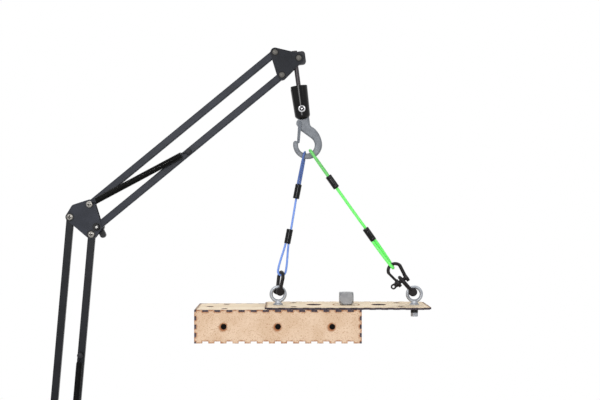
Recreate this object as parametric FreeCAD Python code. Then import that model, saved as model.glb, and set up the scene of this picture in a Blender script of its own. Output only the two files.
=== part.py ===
"""Spring-balanced clamp arm with a snap hook, two wire slings and a box hung from a bolted plate.

Millimetres and degrees. +X points from the arm's post towards the hanging load, +Y away from the
front of the arm, +Z up. The origin is on the post's axis, on the underside of the clamp's upper
jaw, where the desk top touches it. The arm, the hook and the load share the mid-plane Y = 0.
"""
import FreeCAD, Part

import math
import os

V = FreeCAD.Vector

# Clearances
RUNNING_CLEARANCE = 0.05    # radial, a pin or shaft in its bore
FACE_CLEARANCE = 0.05       # axial, two faces that slide on each other
SEAT_CLEARANCE = 0.3        # a loop, ring or rope that hangs on a round piece
SLACK_CLEARANCE = 0.15      # radial, a shackle's loose pin in its ears
CUT_OVERRUN = 1.0           # how far a cutting shape runs past the faces it cuts

# Desk clamp
JAW_THICKNESS = 9.0
JAW_REACH = 22.0
CLAMP_BACK = -38.0
CLAMP_SPINE = 10.0
CLAMP_WIDTH = 32.0
CLAMP_CORNER = 4.0
CLAMP_MOUTH = 60.0
LOWER_ARM = 10.0
SOCKET_RADIUS = 15.0
SOCKET_TOP = 45.0
SPIGOT_RADIUS = 6.0
SPIGOT_BOTTOM = 5.0
SPIGOT_FLOOR_GAP = 0.5
DESK_THICKNESS = 25.0
PAD_RADIUS = 14.0
PAD_THICKNESS = 5.0
PAD_STUD_RADIUS = 3.5
PAD_STUD_DEPTH = 3.0
CLAMP_SCREW_RADIUS = 5.0
CLAMP_SCREW_TRAVEL_UP = 22.0
CLAMP_HEAD_RADIUS = 7.0
CLAMP_HEAD_HEIGHT = 16.0
CLAMP_HEAD_EDGE = 1.0
CLAMP_HEAD_GAP = 2.0        # left under the frame with the screw fully home
PAD_EDGE = 0.8
TOMMY_RADIUS = 2.5
TOMMY_LENGTH = 70.0
TOMMY_BALL_RADIUS = 4.0
THUMB_HEIGHT = 30.0
THUMB_RADIUS = 3.0
THUMB_KNOB_RADIUS = 9.0
THUMB_KNOB_WIDTH = 9.0
THUMB_KNOB_GAP = 3.0
THUMB_FLUTES = 8
THUMB_FLUTE_RADIUS = 1.6
THUMB_FLUTE_REACH = 10.0

# Post and base
COLLAR_RADIUS = 10.0
COLLAR_TOP = 50.0
BASE_BLOCK_TOP = 72.0
BASE_BLOCK_HALF = 14.0
BASE_RIVETS = [(-8.0, 61.0), (8.0, 61.0)]
BASE_FOOT_X = 10.0
BASE_FOOT_RISE = 5.0
BASE_FOOT_CORNER = 4.5
BASE_PIVOT_LEFT = (-16.6, 108.7)
LOWER_PIVOT_OFFSET = (33.0, -26.7)

# Arm linkage
LOWER_LENGTH = 368.0
UPPER_LENGTH = 368.0
LOWER_LEAN = 5.0            # from the vertical, towards +X
UPPER_RISE = 39.4           # above the horizontal
ELBOW_UPPER_OFFSET = (30.9, 19.5)
UPPER_PIVOT_OFFSET = (10.6, -34.8)
ROD_PIVOT_OFFSET = (36.5, -8.7)
BAR_WIDTH = 11.0
BAR_DEPTH = 9.0
BAR_WALL = 1.0
BAR_EDGE = 1.5
PLATE_THICKNESS = 1.6
PLATE_GAP = 0.4
PIVOT_RADIUS = 2.0
PIVOT_HEAD_RADIUS = 5.0
PIVOT_HEAD_HEIGHT = 3.0
RIVET_HEAD_RADIUS = 4.15
RIVET_HEAD_HEIGHT = 1.8
NUT_FLATS = 7.0
NUT_HEIGHT = 3.2
PLATE_CORNER = 6.5
ELBOW_CORNER = 7.5
ELBOW_SHOULDER = (8.0, 13.2)
HEAD_CORNER = 7.2
KNOB_BOLT_RADIUS = 2.5
KNOB_HEAD_RADIUS = 4.7
KNOB_HEAD_HEIGHT = 4.5
KNOB_HEAD_EDGE = 0.8
HEX_SOCKET_FLATS = 4.0
HEX_SOCKET_FLOOR = 2.0      # above the underside of the knob bolt's head
KNOB_LOBES = 2
KNOB_LOBE_RADIUS = 4.6
KNOB_LOBE_REACH = 14.0
KNOB_HUB_RADIUS = 8.0
KNOB_THICKNESS = 9.0
KNOB_LOBE_STEP = 1.0        # each lobe stands back this far from both faces of the hub
KNOB_BOLT_SPARE = 1.5
KNOB_NECK_RADIUS = 5.0
KNOB_NECK_LENGTH = 3.8
KNOB_FIRST_LOBE = -65.0     # degrees from +X towards +Z

# Balance springs
SPRING_RADIUS = 5.0
SPRING_WIRE = 0.7
SPRING_BAR_GAP = 0.5        # between the coils and the bar behind them
SPRING_LOOP_GAP = 1.9       # from the plate's face to the middle of the spring's loop
SPRING_LEAD = 12.0
SPRING_CORE_END = 2.0
SPRING_ANCHOR = 182.0
SPRING_NECK_RADIUS = 3.0
SPRING_NECK_LENGTH = 3.9
ANCHOR_HEAD_RADIUS = 4.4
ANCHOR_HEAD_HEIGHT = 2.4
ANCHOR_NECK_SPARE = 1.5
BASE_SPRING_PIN_RISE = 26.7

# Tilting barrel and hanger rod
ROD_LEAN = -7.5             # top towards -X
BARREL_WIDTH = 20.8
BARREL_HEIGHT = 20.1
BARREL_EDGE = 4.6
BARREL_PIN_RADIUS = 2.0
ROD_RADIUS = 3.5
ROD_PIN_WALL = 0.2          # metal left between the rod's bore and the pivot pin's
ROD_HEAD_RADIUS = 4.7
ROD_HEAD_HEIGHT = 2.0
ROD_SOCKET_DEPTH = 18.0     # how far the rod enters the adapter below its cup
ROD_DROP = 134.0            # foot of the pivot's perpendicular to the hook's bow centre

# Adapter between the rod and the hook, heights above the hook's bow centre
ADAPTER_BOTTOM = 39.6
ADAPTER_DOME_SHARE = 0.66   # share of the low radius where the domed end has risen 1.35
ADAPTER_DOME_RISE = 1.35
ADAPTER_SHOULDER = 45.6
ADAPTER_TOP = 91.5
ADAPTER_LOW_RADIUS = 11.8
ADAPTER_TOP_RADIUS = 13.3
ADAPTER_CUP_RADIUS = 10.4
ADAPTER_CUP_DEPTH = 6.0
ADAPTER_NOTCH_WIDTH = 9.0
ADAPTER_NOTCH_DEPTH = 3.6
SET_SCREW_HEIGHT = 55.8
SET_SCREW_RADIUS = 3.0
SET_HEAD_RADIUS = 5.4
SET_HEAD_HEIGHT = 2.6
SET_SOCKET_FLOOR = 0.8
SET_SEAT_DEPTH = 1.0        # of the spot face, below the adapter's low radius

# Snap hook, outline about the bow centre
HOOK_THICKNESS = 8.0
HOOK_EDGE = 3.4
HOOK_INNER_RADIUS = 12.8
HOOK_OUTER_RADIUS = 22.4
HOOK_OUTER_SHIFT = (1.9, 0.5)
HOOK_NOSE_RADIUS = 3.95
HOOK_LIMB_BEARING = 2.0
HOOK_SHOULDER = (17.0, 22.2)
HOOK_WAIST = (12.4, 26.6)
HOOK_THROAT = (-5.7, 23.2)
HOOK_BOSS_LOW = (-9.9, 31.2)
HOOK_BOSS_TOP = (-7.8, 40.3)
HOOK_NECK_HALF = 9.8
HOOK_NECK_TOP = 63.0
GATE_PIVOT = (-5.6, 35.3)
GATE_TIP = (-11.6, 6.6)
GATE_TIP_RADIUS = 2.1
GATE_BAR_DEPTH = 4.2
GATE_EYE_RADIUS = 2.5
GATE_CHEEK = 1.6
GATE_BRIDGE = (0.74, 0.80)  # shares of the way from pivot to tip where the cheeks join
GATE_PIN_RADIUS = 1.0

# Slings: distances along each sling from the hook's bow centre
BLUE_ROPE_RADIUS = 1.7
GREEN_ROPE_RADIUS = 2.4
FERRULE_LENGTH = 22.6
FERRULE_RADIUS = 5.0
FERRULE_WALL = 0.9
BLUE_FERRULES = (72.8, 143.3)
GREEN_FERRULES = (69.5, 168.4)
STRAND_GAP = 0.1            # half the gap between the two strands in a ferrule
EYE_SPREAD = 4.7            # half width of the opening left for the hook's bow
EYE_TAIL = 3.0              # how far the loop's end runs past the middle of its ferrule
FERRULE_EDGE = 0.7
ARC_SHORTFALL = 0.02        # an arc's radius falls this short of the half width it turns in
BLUE_LOOP_HALF = 6.1
BLUE_LOOP_RISE = 11.0

# Shackles
SHACKLE_WIRE = 2.75
SHACKLE_PIN_RADIUS = 3.0
SHACKLE_JAW = 10.0
SHACKLE_EAR_RADIUS = 6.6
SHACKLE_EAR_THICKNESS = 5.2
SHACKLE_EAR_EDGE = 1.2
SHACKLE_SPRINGING = 3.0     # height above the pin where the bow leaves the middle of the ear
SHACKLE_BOW_RADIUS = 8.0    # inner
SHACKLE_INSIDE = 26.5       # pin centre to the inner top of the bow
SHACKLE_EYE_RADIUS = 4.2
SHACKLE_EYE_ROOT = 3.4
SHACKLE_EYE_HOLE = 1.8
SHACKLE_EYE_THICKNESS = 2.4
SHACKLE_COLLAR_RADIUS = 4.4
SHACKLE_COLLAR_HEIGHT = 1.6
SHACKLE_EYE_REACH = 4.9     # from the collar to the middle of the drilled eye
LEFT_SHACKLE_LEAN = 9.0
LEFT_SHACKLE_TURN = 18.0
RIGHT_LOWER_LEAN = -41.5
RIGHT_UPPER_LEAN = -36.0

# Eye bolts
RING_WIRE = 2.5
RING_INNER_RADIUS = 8.25
RING_RISE = 16.3            # ring centre above the plate
EYE_COLLAR_RADIUS = 7.4
EYE_NECK_RADIUS = 5.4
EYE_COLLAR_HEIGHT = 2.4
EYE_SHANK_RADIUS = 3.0
EYE_WASHER_RADIUS = 5.7
EYE_WASHER_HEIGHT = 9.1
EYE_NECK_TAPER = 0.86
EYE_RING_SINK = 0.55        # share of the ring's wire radius sunk in the collar
EYE_NUT_FLATS = 9.6
EYE_NUT_HEIGHT = 5.9

# Top plate, rings 105 each side of its middle
BOARD = 3.0
PLATE_LENGTH = 250.0
PLATE_WIDTH = 100.0
PLATE_BOTTOM = 337.2
PLATE_CENTRE_X = 440.5
RING_SPACING = 105.0
LIGHT_HOLE_RADIUS = 11.0
LIGHT_HOLE_X = 50.0
SMALL_HOLE_RADIUS = 4.0
SMALL_HOLE_X = 81.0
SMALL_HOLE_Y = 30.0
ENGRAVED_RADIUS = 19.5
ENGRAVED_WIDTH = 0.6
ENGRAVED_DEPTH = 0.4
SQUARE_HEAD = 21.3
SQUARE_HEAD_HEIGHT = 17.1
SQUARE_CORNER_RADIUS = 14.6
SQUARE_COLLAR_RADIUS = 6.95
SQUARE_COLLAR_HEIGHT = 2.0
SQUARE_SHANK_RADIUS = 5.0
SQUARE_SHANK_SPARE = 2.0
SQUARE_NUT_FLATS = 17.0
SQUARE_NUT_HEIGHT = 8.0

# Box of finger-jointed boards, open below
BOX_LENGTH = 250.0
BOX_WIDTH = 100.0
BOX_HEIGHT = 50.0
BOX_CENTRE_X = 335.5
LONG_FINGERS = 27
HEIGHT_FINGERS = 7
WIDTH_FINGERS = 15
SIDE_HOLE_RADIUS = 4.4
BALLAST_SIZE = (38.6, 40.0, 12.0)
BALLAST_X = 289.5


def moved(shape, x, y, z):
    """A copy of the shape shifted by x, y, z."""
    placed = shape.copy()
    placed.translate(V(x, y, z))
    return placed


def leaned(shape, pivot, lean, y=0.0):
    """The shape, built upright at the origin, leaned towards +X and set on a pivot (x, z)."""
    placed = shape.copy()
    placed.rotate(V(0, 0, 0), V(0, 1, 0), lean)
    placed.translate(V(pivot[0], y, pivot[1]))
    return placed


def facing(shape, point, y, front=True):
    """The shape, built along +Z, turned to face the front (or the rear) at a point (x, z)."""
    placed = shape.copy()
    placed.rotate(V(0, 0, 0), V(1, 0, 0), 90 if front else -90)
    placed.translate(V(point[0], y, point[1]))
    return placed


def offset(point, delta):
    return (point[0] + delta[0], point[1] + delta[1])


def along(point, lean, distance):
    """The point (x, z) at a distance up a line that leans from the vertical towards +X."""
    angle = math.radians(lean)
    return offset(point, (distance * math.sin(angle), distance * math.cos(angle)))


def on_circle(centre, radius, degrees):
    angle = math.radians(degrees)
    return (centre[0] + radius * math.cos(angle), centre[1] + radius * math.sin(angle))


def cylinder(radius, height, z=0.0):
    return Part.makeCylinder(radius, height, V(0, 0, z))


def along_x(radius, length, x=0.0, z=0.0):
    return Part.makeCylinder(radius, length, V(x, 0, z), V(1, 0, 0))


def block(x_low, x_high, y_low, y_high, z_low, z_high):
    return Part.makeBox(x_high - x_low, y_high - y_low, z_high - z_low, V(x_low, y_low, z_low))


def hexagon(flats, height, z=0.0):
    corner = flats / math.sqrt(3)
    points = [
        V(corner * math.cos(math.radians(60 * i)), corner * math.sin(math.radians(60 * i)), z)
        for i in range(7)
    ]
    return Part.Face(Part.makePolygon(points)).extrude(V(0, 0, height))


def turned(profile):
    """A solid of revolution about Z from (radius, height) points that start and end on the axis."""
    points = [V(radius, 0, height) for radius, height in profile]
    return Part.Face(Part.makePolygon(points + points[:1])).revolve(V(0, 0, 0), V(0, 0, 1), 360)


def dome(radius, height, z=0.0):
    """A round head with a flat underside at z: a short rim under a spherical cap."""
    rise = 0.75 * height
    ball = (radius**2 + rise**2) / (2 * rise)
    return cylinder(radius, height, z).common(Part.makeSphere(ball, V(0, 0, z + height - ball)))


def drill_across(radius, point):
    """A cutting cylinder along Y through both plates at (x, z), a running fit for the radius."""
    half = PLATE_OUTER + CUT_OVERRUN
    return facing(cylinder(radius + RUNNING_CLEARANCE, 2 * half, -half), point, 0)


def nut(flats, height, bore, z=0.0):
    return hexagon(flats, height, z).cut(cylinder(bore + RUNNING_CLEARANCE, height, z))


def hull_wire(circles, y):
    """The belt round circles (x, z, radius) listed anticlockwise, as tangent lines and arcs."""
    tangents = []
    for start, end in zip(circles, circles[1:] + circles[:1]):
        run = V(end[0] - start[0], 0, end[1] - start[1])
        length = run.Length
        run.normalize()
        share = (start[2] - end[2]) / length
        out = run * share + V(run.z, 0, -run.x) * math.sqrt(1 - share * share)
        tangents.append((out, V(start[0], y, start[1]) + out * start[2], V(end[0], y, end[1]) + out * end[2]))
    edges = []
    for i, circle in enumerate(circles):
        arrive, leave = tangents[i - 1], tangents[i]
        first = math.atan2(arrive[0].z, arrive[0].x)
        sweep = (math.atan2(leave[0].z, leave[0].x) - first) % (2 * math.pi)
        middle = V(math.cos(first + sweep / 2), 0, math.sin(first + sweep / 2))
        centre = V(circle[0], y, circle[1])
        edges.append(Part.Arc(arrive[2], centre + middle * circle[2], leave[1]).toShape())
        edges.append(Part.LineSegment(leave[1], leave[2]).toShape())
    return Part.Wire(edges)


def hull_plate(circles, y_low, thickness):
    return Part.Face(hull_wire(circles, y_low)).extrude(V(0, thickness, 0))


def side_plate(circles, holes, front):
    """One pressed plate of a pair that carries the bars, drilled for its pivots (x, z, radius)."""
    y_low = -PLATE_OUTER if front else PLATE_INNER
    plate = hull_plate(circles, y_low, PLATE_THICKNESS)
    for x, z, radius in holes:
        plate = plate.cut(drill_across(radius, (x, z)))
    return plate


def cord_wire(points, radii=None):
    """Straight runs joined by tangent arcs, and the arcs' radii.

    An arc without its own radius takes 0.45 of its shorter run over the tangent of half the turn.
    """
    runs = [(b - a) for a, b in zip(points, points[1:])]
    edges = []
    used = []
    start = points[0]
    for i, corner in enumerate(points[1:-1]):
        before, after = runs[i], runs[i + 1]
        half = before.getAngle(after) / 2
        radius = (radii or {}).get(i + 1, 0.45 * min(before.Length, after.Length) / math.tan(half))
        reach = radius * math.tan(half)
        inward, outward = V(before), V(after)
        inward.normalize()
        outward.normalize()
        entry, leave = corner - inward * reach, corner + outward * reach
        bisector = outward - inward
        bisector.normalize()
        middle = corner + bisector * (radius / math.cos(half) - radius)
        edges.append(Part.LineSegment(start, entry).toShape())
        edges.append(Part.Arc(entry, middle, leave).toShape())
        used.append(round(radius, 2))
        start = leave
    edges.append(Part.LineSegment(start, points[-1]).toShape())
    return Part.Wire(edges), used


def tube_along(wire, radius):
    start = wire.OrderedVertexes[0].Point
    direction = wire.OrderedEdges[0].tangentAt(wire.OrderedEdges[0].FirstParameter)
    section = Part.Wire([Part.makeCircle(radius, start, direction)])
    return wire.makePipeShell([section], True, False)


def save(name, *solids):
    shape = solids[0] if len(solids) == 1 else Part.makeCompound(list(solids))
    if len(shape.Solids) == 1:
        shape = shape.Solids[0]
    shape.exportStep(f"parts/{name}.step")


# Sizes and places worked out from the sizes above
CLAMP_HEAD_TOP = -CLAMP_MOUTH - LOWER_ARM - CLAMP_SCREW_TRAVEL_UP - CLAMP_HEAD_GAP
TOMMY_Z = CLAMP_HEAD_TOP - CLAMP_HEAD_HEIGHT / 2
PLATE_INNER = BAR_DEPTH / 2 + PLATE_GAP
PLATE_OUTER = PLATE_INNER + PLATE_THICKNESS
SPRING_AXIS_Y = -BAR_DEPTH / 2 - SPRING_RADIUS - SPRING_BAR_GAP
SPRING_LOOP_Y = -PLATE_OUTER - SPRING_LOOP_GAP
BARREL_DEPTH = 2 * (PLATE_INNER - SEAT_CLEARANCE)
ROD_OFFSET = ROD_RADIUS + BARREL_PIN_RADIUS + ROD_PIN_WALL
SET_SEAT = ADAPTER_LOW_RADIUS - SET_SEAT_DEPTH
ADAPTER_CUP_FLOOR = ADAPTER_TOP - ADAPTER_CUP_DEPTH
UPPER_LEAN = 90.0 - UPPER_RISE
BASE_PIVOT_RIGHT = offset(BASE_PIVOT_LEFT, LOWER_PIVOT_OFFSET)
BASE_SPRING_PIN = along(BASE_PIVOT_RIGHT, LOWER_LEAN, BASE_SPRING_PIN_RISE)
LOWER_ANCHOR = along(BASE_PIVOT_RIGHT, LOWER_LEAN, SPRING_ANCHOR)
ELBOW_LEFT = along(BASE_PIVOT_LEFT, LOWER_LEAN, LOWER_LENGTH)
ELBOW_RIGHT = offset(ELBOW_LEFT, LOWER_PIVOT_OFFSET)
ELBOW_TOP = offset(ELBOW_LEFT, ELBOW_UPPER_OFFSET)
ELBOW_KNOB = offset(ELBOW_TOP, UPPER_PIVOT_OFFSET)
UPPER_ANCHOR = along(ELBOW_KNOB, UPPER_LEAN, SPRING_ANCHOR)
HEAD_TOP = along(ELBOW_TOP, UPPER_LEAN, UPPER_LENGTH)
HEAD_LOW = offset(HEAD_TOP, UPPER_PIVOT_OFFSET)
ROD_PIVOT = offset(HEAD_TOP, ROD_PIVOT_OFFSET)
ROD_FOOT = along(ROD_PIVOT, ROD_LEAN + 90, -ROD_OFFSET)
BOW = along(ROD_FOOT, ROD_LEAN, -ROD_DROP)
RING_Z = PLATE_BOTTOM + BOARD + RING_RISE
PIN_IN_RING = RING_INNER_RADIUS - SHACKLE_PIN_RADIUS - SEAT_CLEARANCE
LEFT_RING = (PLATE_CENTRE_X - RING_SPACING, RING_Z)
RIGHT_RING = (PLATE_CENTRE_X + RING_SPACING, RING_Z)
LEFT_PIN = along(LEFT_RING, LEFT_SHACKLE_LEAN, PIN_IN_RING)
LOWER_PIN = along(RIGHT_RING, RIGHT_LOWER_LEAN, PIN_IN_RING)
PIN_IN_BOW = SHACKLE_INSIDE - SHACKLE_PIN_RADIUS - SEAT_CLEARANCE
UPPER_PIN = along(LOWER_PIN, RIGHT_LOWER_LEAN, PIN_IN_BOW)
SHACKLE_REACH = SHACKLE_INSIDE + SHACKLE_WIRE
LEFT_BOW = along(LEFT_PIN, LEFT_SHACKLE_LEAN, SHACKLE_REACH)
RIGHT_BOW = along(UPPER_PIN, RIGHT_UPPER_LEAN, SHACKLE_REACH)
BOX_TOP = PLATE_BOTTOM
BOX_BOTTOM = BOX_TOP - BOX_HEIGHT


def clamp_frame():
    """C-shaped desk clamp with the post's socket on its upper jaw and a thread in its lower arm."""
    bottom = -CLAMP_MOUTH - LOWER_ARM
    half = CLAMP_WIDTH / 2
    body = block(CLAMP_BACK, JAW_REACH, -half, half, bottom, JAW_THICKNESS)
    past, wide = JAW_REACH + CUT_OVERRUN, half + CUT_OVERRUN
    mouth = block(CLAMP_BACK + CLAMP_SPINE, past, -wide, wide, -CLAMP_MOUTH, 0)
    short = block(SOCKET_RADIUS, past, -wide, wide, bottom - CUT_OVERRUN, -CLAMP_MOUTH)
    body = body.cut(mouth).cut(short)
    rounded = [
        edge for edge in body.Edges
        if edge.BoundBox.YLength > half and edge.BoundBox.XMax < 0
    ]
    body = body.makeFillet(CLAMP_CORNER, rounded)
    body = body.fuse(cylinder(SOCKET_RADIUS, SOCKET_TOP))
    body = body.cut(cylinder(SPIGOT_RADIUS + RUNNING_CLEARANCE, SOCKET_TOP, SPIGOT_BOTTOM))
    tapped = cylinder(CLAMP_SCREW_RADIUS + RUNNING_CLEARANCE, LOWER_ARM + 2 * CUT_OVERRUN, bottom - CUT_OVERRUN)
    thumb = along_x(THUMB_RADIUS + RUNNING_CLEARANCE, SOCKET_RADIUS + CUT_OVERRUN, 0, THUMB_HEIGHT)
    return body.cut([tapped, thumb]).removeSplitter()


def clamp_screw():
    """Clamping screw: a stud in the pad's socket, a threaded shank and a cross-drilled head."""
    shank_top = -DESK_THICKNESS - PAD_THICKNESS - FACE_CLEARANCE
    screw = cylinder(CLAMP_SCREW_RADIUS, shank_top - TOMMY_Z, TOMMY_Z)
    tip = cylinder(PAD_STUD_RADIUS, PAD_STUD_DEPTH, shank_top)
    head = cylinder(CLAMP_HEAD_RADIUS, CLAMP_HEAD_HEIGHT, CLAMP_HEAD_TOP - CLAMP_HEAD_HEIGHT)
    head = head.makeChamfer(CLAMP_HEAD_EDGE, head.Edges)
    cross = along_x(TOMMY_RADIUS + RUNNING_CLEARANCE, 4 * CLAMP_HEAD_RADIUS, -2 * CLAMP_HEAD_RADIUS, TOMMY_Z)
    return screw.fuse([tip, head]).cut(cross).removeSplitter()


def clamp_pad():
    """Round swivel pad with a blind socket below for the screw's tip."""
    top = -DESK_THICKNESS
    pad = cylinder(PAD_RADIUS, PAD_THICKNESS, top - PAD_THICKNESS)
    pad = pad.makeChamfer(PAD_EDGE, [edge for edge in pad.Edges if len(edge.Vertexes) == 1])
    socket_depth = PAD_STUD_DEPTH + FACE_CLEARANCE
    return pad.cut(cylinder(PAD_STUD_RADIUS + RUNNING_CLEARANCE, socket_depth, top - PAD_THICKNESS))


def clamp_tommy_bar():
    """Sliding cross bar with a ball at each end."""
    half = TOMMY_LENGTH / 2
    balls = [Part.makeSphere(TOMMY_BALL_RADIUS, V(side * half, 0, TOMMY_Z)) for side in (-1, 1)]
    return along_x(TOMMY_RADIUS, TOMMY_LENGTH, -half, TOMMY_Z).fuse(balls)


def socket_thumbscrew():
    """Fluted screw that locks the post in its socket, along X."""
    tip = SPIGOT_RADIUS + SEAT_CLEARANCE
    knob = SOCKET_RADIUS + THUMB_KNOB_GAP
    shank = along_x(THUMB_RADIUS, knob - tip + THUMB_KNOB_WIDTH / 2, tip, THUMB_HEIGHT)
    grip = along_x(THUMB_KNOB_RADIUS, THUMB_KNOB_WIDTH, knob, THUMB_HEIGHT)
    for i in range(THUMB_FLUTES):
        y, z = on_circle((0, THUMB_HEIGHT), THUMB_FLUTE_REACH, 360 * i / THUMB_FLUTES)
        grip = grip.cut(moved(along_x(THUMB_FLUTE_RADIUS, THUMB_KNOB_WIDTH, knob, z), 0, y, 0))
    return shank.fuse(grip).removeSplitter()


def base_post():
    """Turned spigot and collar carrying the flat block between the base plates."""
    depth = 2 * PLATE_INNER
    spigot_low = SPIGOT_BOTTOM + SPIGOT_FLOOR_GAP
    spigot = cylinder(SPIGOT_RADIUS, COLLAR_TOP - spigot_low, spigot_low)
    collar_bottom = SOCKET_TOP + FACE_CLEARANCE
    collar = cylinder(COLLAR_RADIUS, COLLAR_TOP - collar_bottom, collar_bottom)
    half = BASE_BLOCK_HALF
    upright = block(-half, half, -depth / 2, depth / 2, COLLAR_TOP, BASE_BLOCK_TOP)
    post = spigot.fuse([collar, upright])
    for point in BASE_RIVETS:
        post = post.cut(drill_across(PIVOT_RADIUS, point))
    return post.removeSplitter()


def bar(length, lean, pivot, extra_holes=()):
    """Square tube with rounded ends and edges, bored at both pivots and at any extra height."""
    y = -BAR_DEPTH / 2
    outer = hull_plate([(0, 0, BAR_WIDTH / 2), (0, length, BAR_WIDTH / 2)], y, BAR_DEPTH)
    outer = outer.makeFillet(BAR_EDGE, [edge for edge in outer.Edges if edge.BoundBox.YLength < 0.01])
    inside_x = BAR_WIDTH / 2 - BAR_WALL
    inside_y = BAR_DEPTH / 2 - BAR_WALL
    tube = outer.cut(block(-inside_x, inside_x, -inside_y, inside_y, -BAR_WIDTH, length + BAR_WIDTH))
    for height in (0.0, length, *extra_holes):
        tube = tube.cut(drill_across(PIVOT_RADIUS, (0, height)))
    return leaned(tube, pivot, lean)


def domed_screw(point, shank_length, neck):
    """Round-headed screw in the front plate; a neck under its head takes a spring's loop."""
    screw = cylinder(PIVOT_RADIUS, shank_length, -shank_length)
    screw = screw.fuse(dome(PIVOT_HEAD_RADIUS, PIVOT_HEAD_HEIGHT, neck))
    if neck:
        screw = screw.fuse(cylinder(SPRING_NECK_RADIUS, neck))
    return facing(screw.removeSplitter(), point, -PLATE_OUTER)


def pivot_screw(point, neck=0.0):
    """Screw through both plates and the nut behind them."""
    return domed_screw(point, 2 * PLATE_OUTER + NUT_HEIGHT, neck)


def spring_stud(point):
    """Headed stud riveted into the front plate alone."""
    return domed_screw(point, PLATE_THICKNESS, SPRING_NECK_LENGTH)


def pivot_nut(point):
    return facing(nut(NUT_FLATS, NUT_HEIGHT, PIVOT_RADIUS), point, PLATE_OUTER, front=False)


def rivet(point, radius=PIVOT_RADIUS):
    """Rivet through both plates with a low head on each side."""
    depth = 2 * PLATE_OUTER
    head = dome(RIVET_HEAD_RADIUS, RIVET_HEAD_HEIGHT)
    tail = head.copy()
    tail.rotate(V(0, 0, 0), V(1, 0, 0), 180)
    pieces = [head, moved(tail, 0, 0, -depth)]
    return facing(cylinder(radius, depth, -depth).fuse(pieces).removeSplitter(), point, -PLATE_OUTER)


def anchor_stud(point):
    """Spring anchor bolted through a bar, its loop running in the neck under the head."""
    shank = cylinder(PIVOT_RADIUS, BAR_DEPTH + NUT_HEIGHT, -BAR_DEPTH - NUT_HEIGHT)
    reach = -SPRING_AXIS_Y - BAR_DEPTH / 2 + ANCHOR_NECK_SPARE
    head = dome(ANCHOR_HEAD_RADIUS, ANCHOR_HEAD_HEIGHT, reach)
    stud = shank.fuse([cylinder(SPRING_NECK_RADIUS, reach), head])
    stud = facing(stud.removeSplitter(), point, -BAR_DEPTH / 2)
    lock = facing(nut(NUT_FLATS, NUT_HEIGHT, PIVOT_RADIUS), point, BAR_DEPTH / 2, front=False)
    return stud, lock


def tension_spring(start, end, start_y, end_y):
    """Outer shape of a close-wound tension spring hooked on two necks, start and end (x, z)."""
    ring = SPRING_NECK_RADIUS + SEAT_CLEARANCE + SPRING_WIRE
    run = V(end[0] - start[0], 0, end[1] - start[1])
    length = run.Length
    lean = math.degrees(math.atan2(run.x, run.z))
    body = cylinder(SPRING_RADIUS, length - 2 * SPRING_LEAD, SPRING_LEAD)
    core_low = SPRING_LEAD + SPRING_CORE_END
    core = cylinder(SPRING_RADIUS - 2 * SPRING_WIRE, length - 2 * core_low, core_low)
    body = moved(body.cut(core), 0, SPRING_AXIS_Y, 0)
    pieces = []
    for base, sign, y in ((0.0, 1, start_y), (length, -1, end_y)):
        loop = Part.makeTorus(ring, SPRING_WIRE, V(0, y, base), V(0, 1, 0))
        foot = V(0, y, base + sign * ring)
        top = V(0, SPRING_AXIS_Y, base + sign * (SPRING_LEAD + SPRING_CORE_END / 2))
        wire = Part.makeCylinder(SPRING_WIRE, (top - foot).Length, foot, top - foot)
        pieces += [loop, wire]
    return leaned(body.fuse(pieces).removeSplitter(), start, lean)


def wing_knob():
    """Two-winged locking knob, its neck clearing the nut beside it, on the elbow's bolt."""
    hub = cylinder(KNOB_HUB_RADIUS, KNOB_THICKNESS, KNOB_NECK_LENGTH)
    top = KNOB_NECK_LENGTH + KNOB_THICKNESS
    neck = cylinder(KNOB_NECK_RADIUS, top)
    lobe_thickness = KNOB_THICKNESS - 2 * KNOB_LOBE_STEP
    lobes = []
    for i in range(KNOB_LOBES):
        tip = on_circle((0, 0), KNOB_LOBE_REACH, KNOB_FIRST_LOBE + 360 * i / KNOB_LOBES)
        lobe = hull_plate([(0.0, 0.0, KNOB_LOBE_RADIUS), (*tip, KNOB_LOBE_RADIUS)], 0, lobe_thickness)
        lobe.rotate(V(0, 0, 0), V(1, 0, 0), 90)
        lobes.append(moved(lobe, 0, 0, KNOB_NECK_LENGTH + KNOB_LOBE_STEP))
    knob = hub.fuse([neck, *lobes]).removeSplitter()
    knob = knob.cut(cylinder(KNOB_BOLT_RADIUS + RUNNING_CLEARANCE, top))
    return facing(knob, ELBOW_KNOB, PLATE_OUTER + SEAT_CLEARANCE, front=False)


def knob_bolt():
    """Socket-head bolt through the elbow that the locking knob tightens on."""
    reach = 2 * PLATE_OUTER + SEAT_CLEARANCE + KNOB_NECK_LENGTH + KNOB_THICKNESS + KNOB_BOLT_SPARE
    shank = cylinder(KNOB_BOLT_RADIUS, reach, -reach)
    head = cylinder(KNOB_HEAD_RADIUS, KNOB_HEAD_HEIGHT)
    rim = [edge for edge in head.Edges if edge.BoundBox.ZMin > KNOB_HEAD_HEIGHT / 2]
    head = head.makeFillet(KNOB_HEAD_EDGE, rim)
    head = head.cut(hexagon(HEX_SOCKET_FLATS, KNOB_HEAD_HEIGHT, HEX_SOCKET_FLOOR))
    return facing(shank.fuse(head).removeSplitter(), ELBOW_KNOB, -PLATE_OUTER)


def in_rod_frame(shape):
    """The shape, built upright about the hook's bow centre, leaned with the hanger rod."""
    return leaned(shape, BOW, ROD_LEAN)


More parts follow.
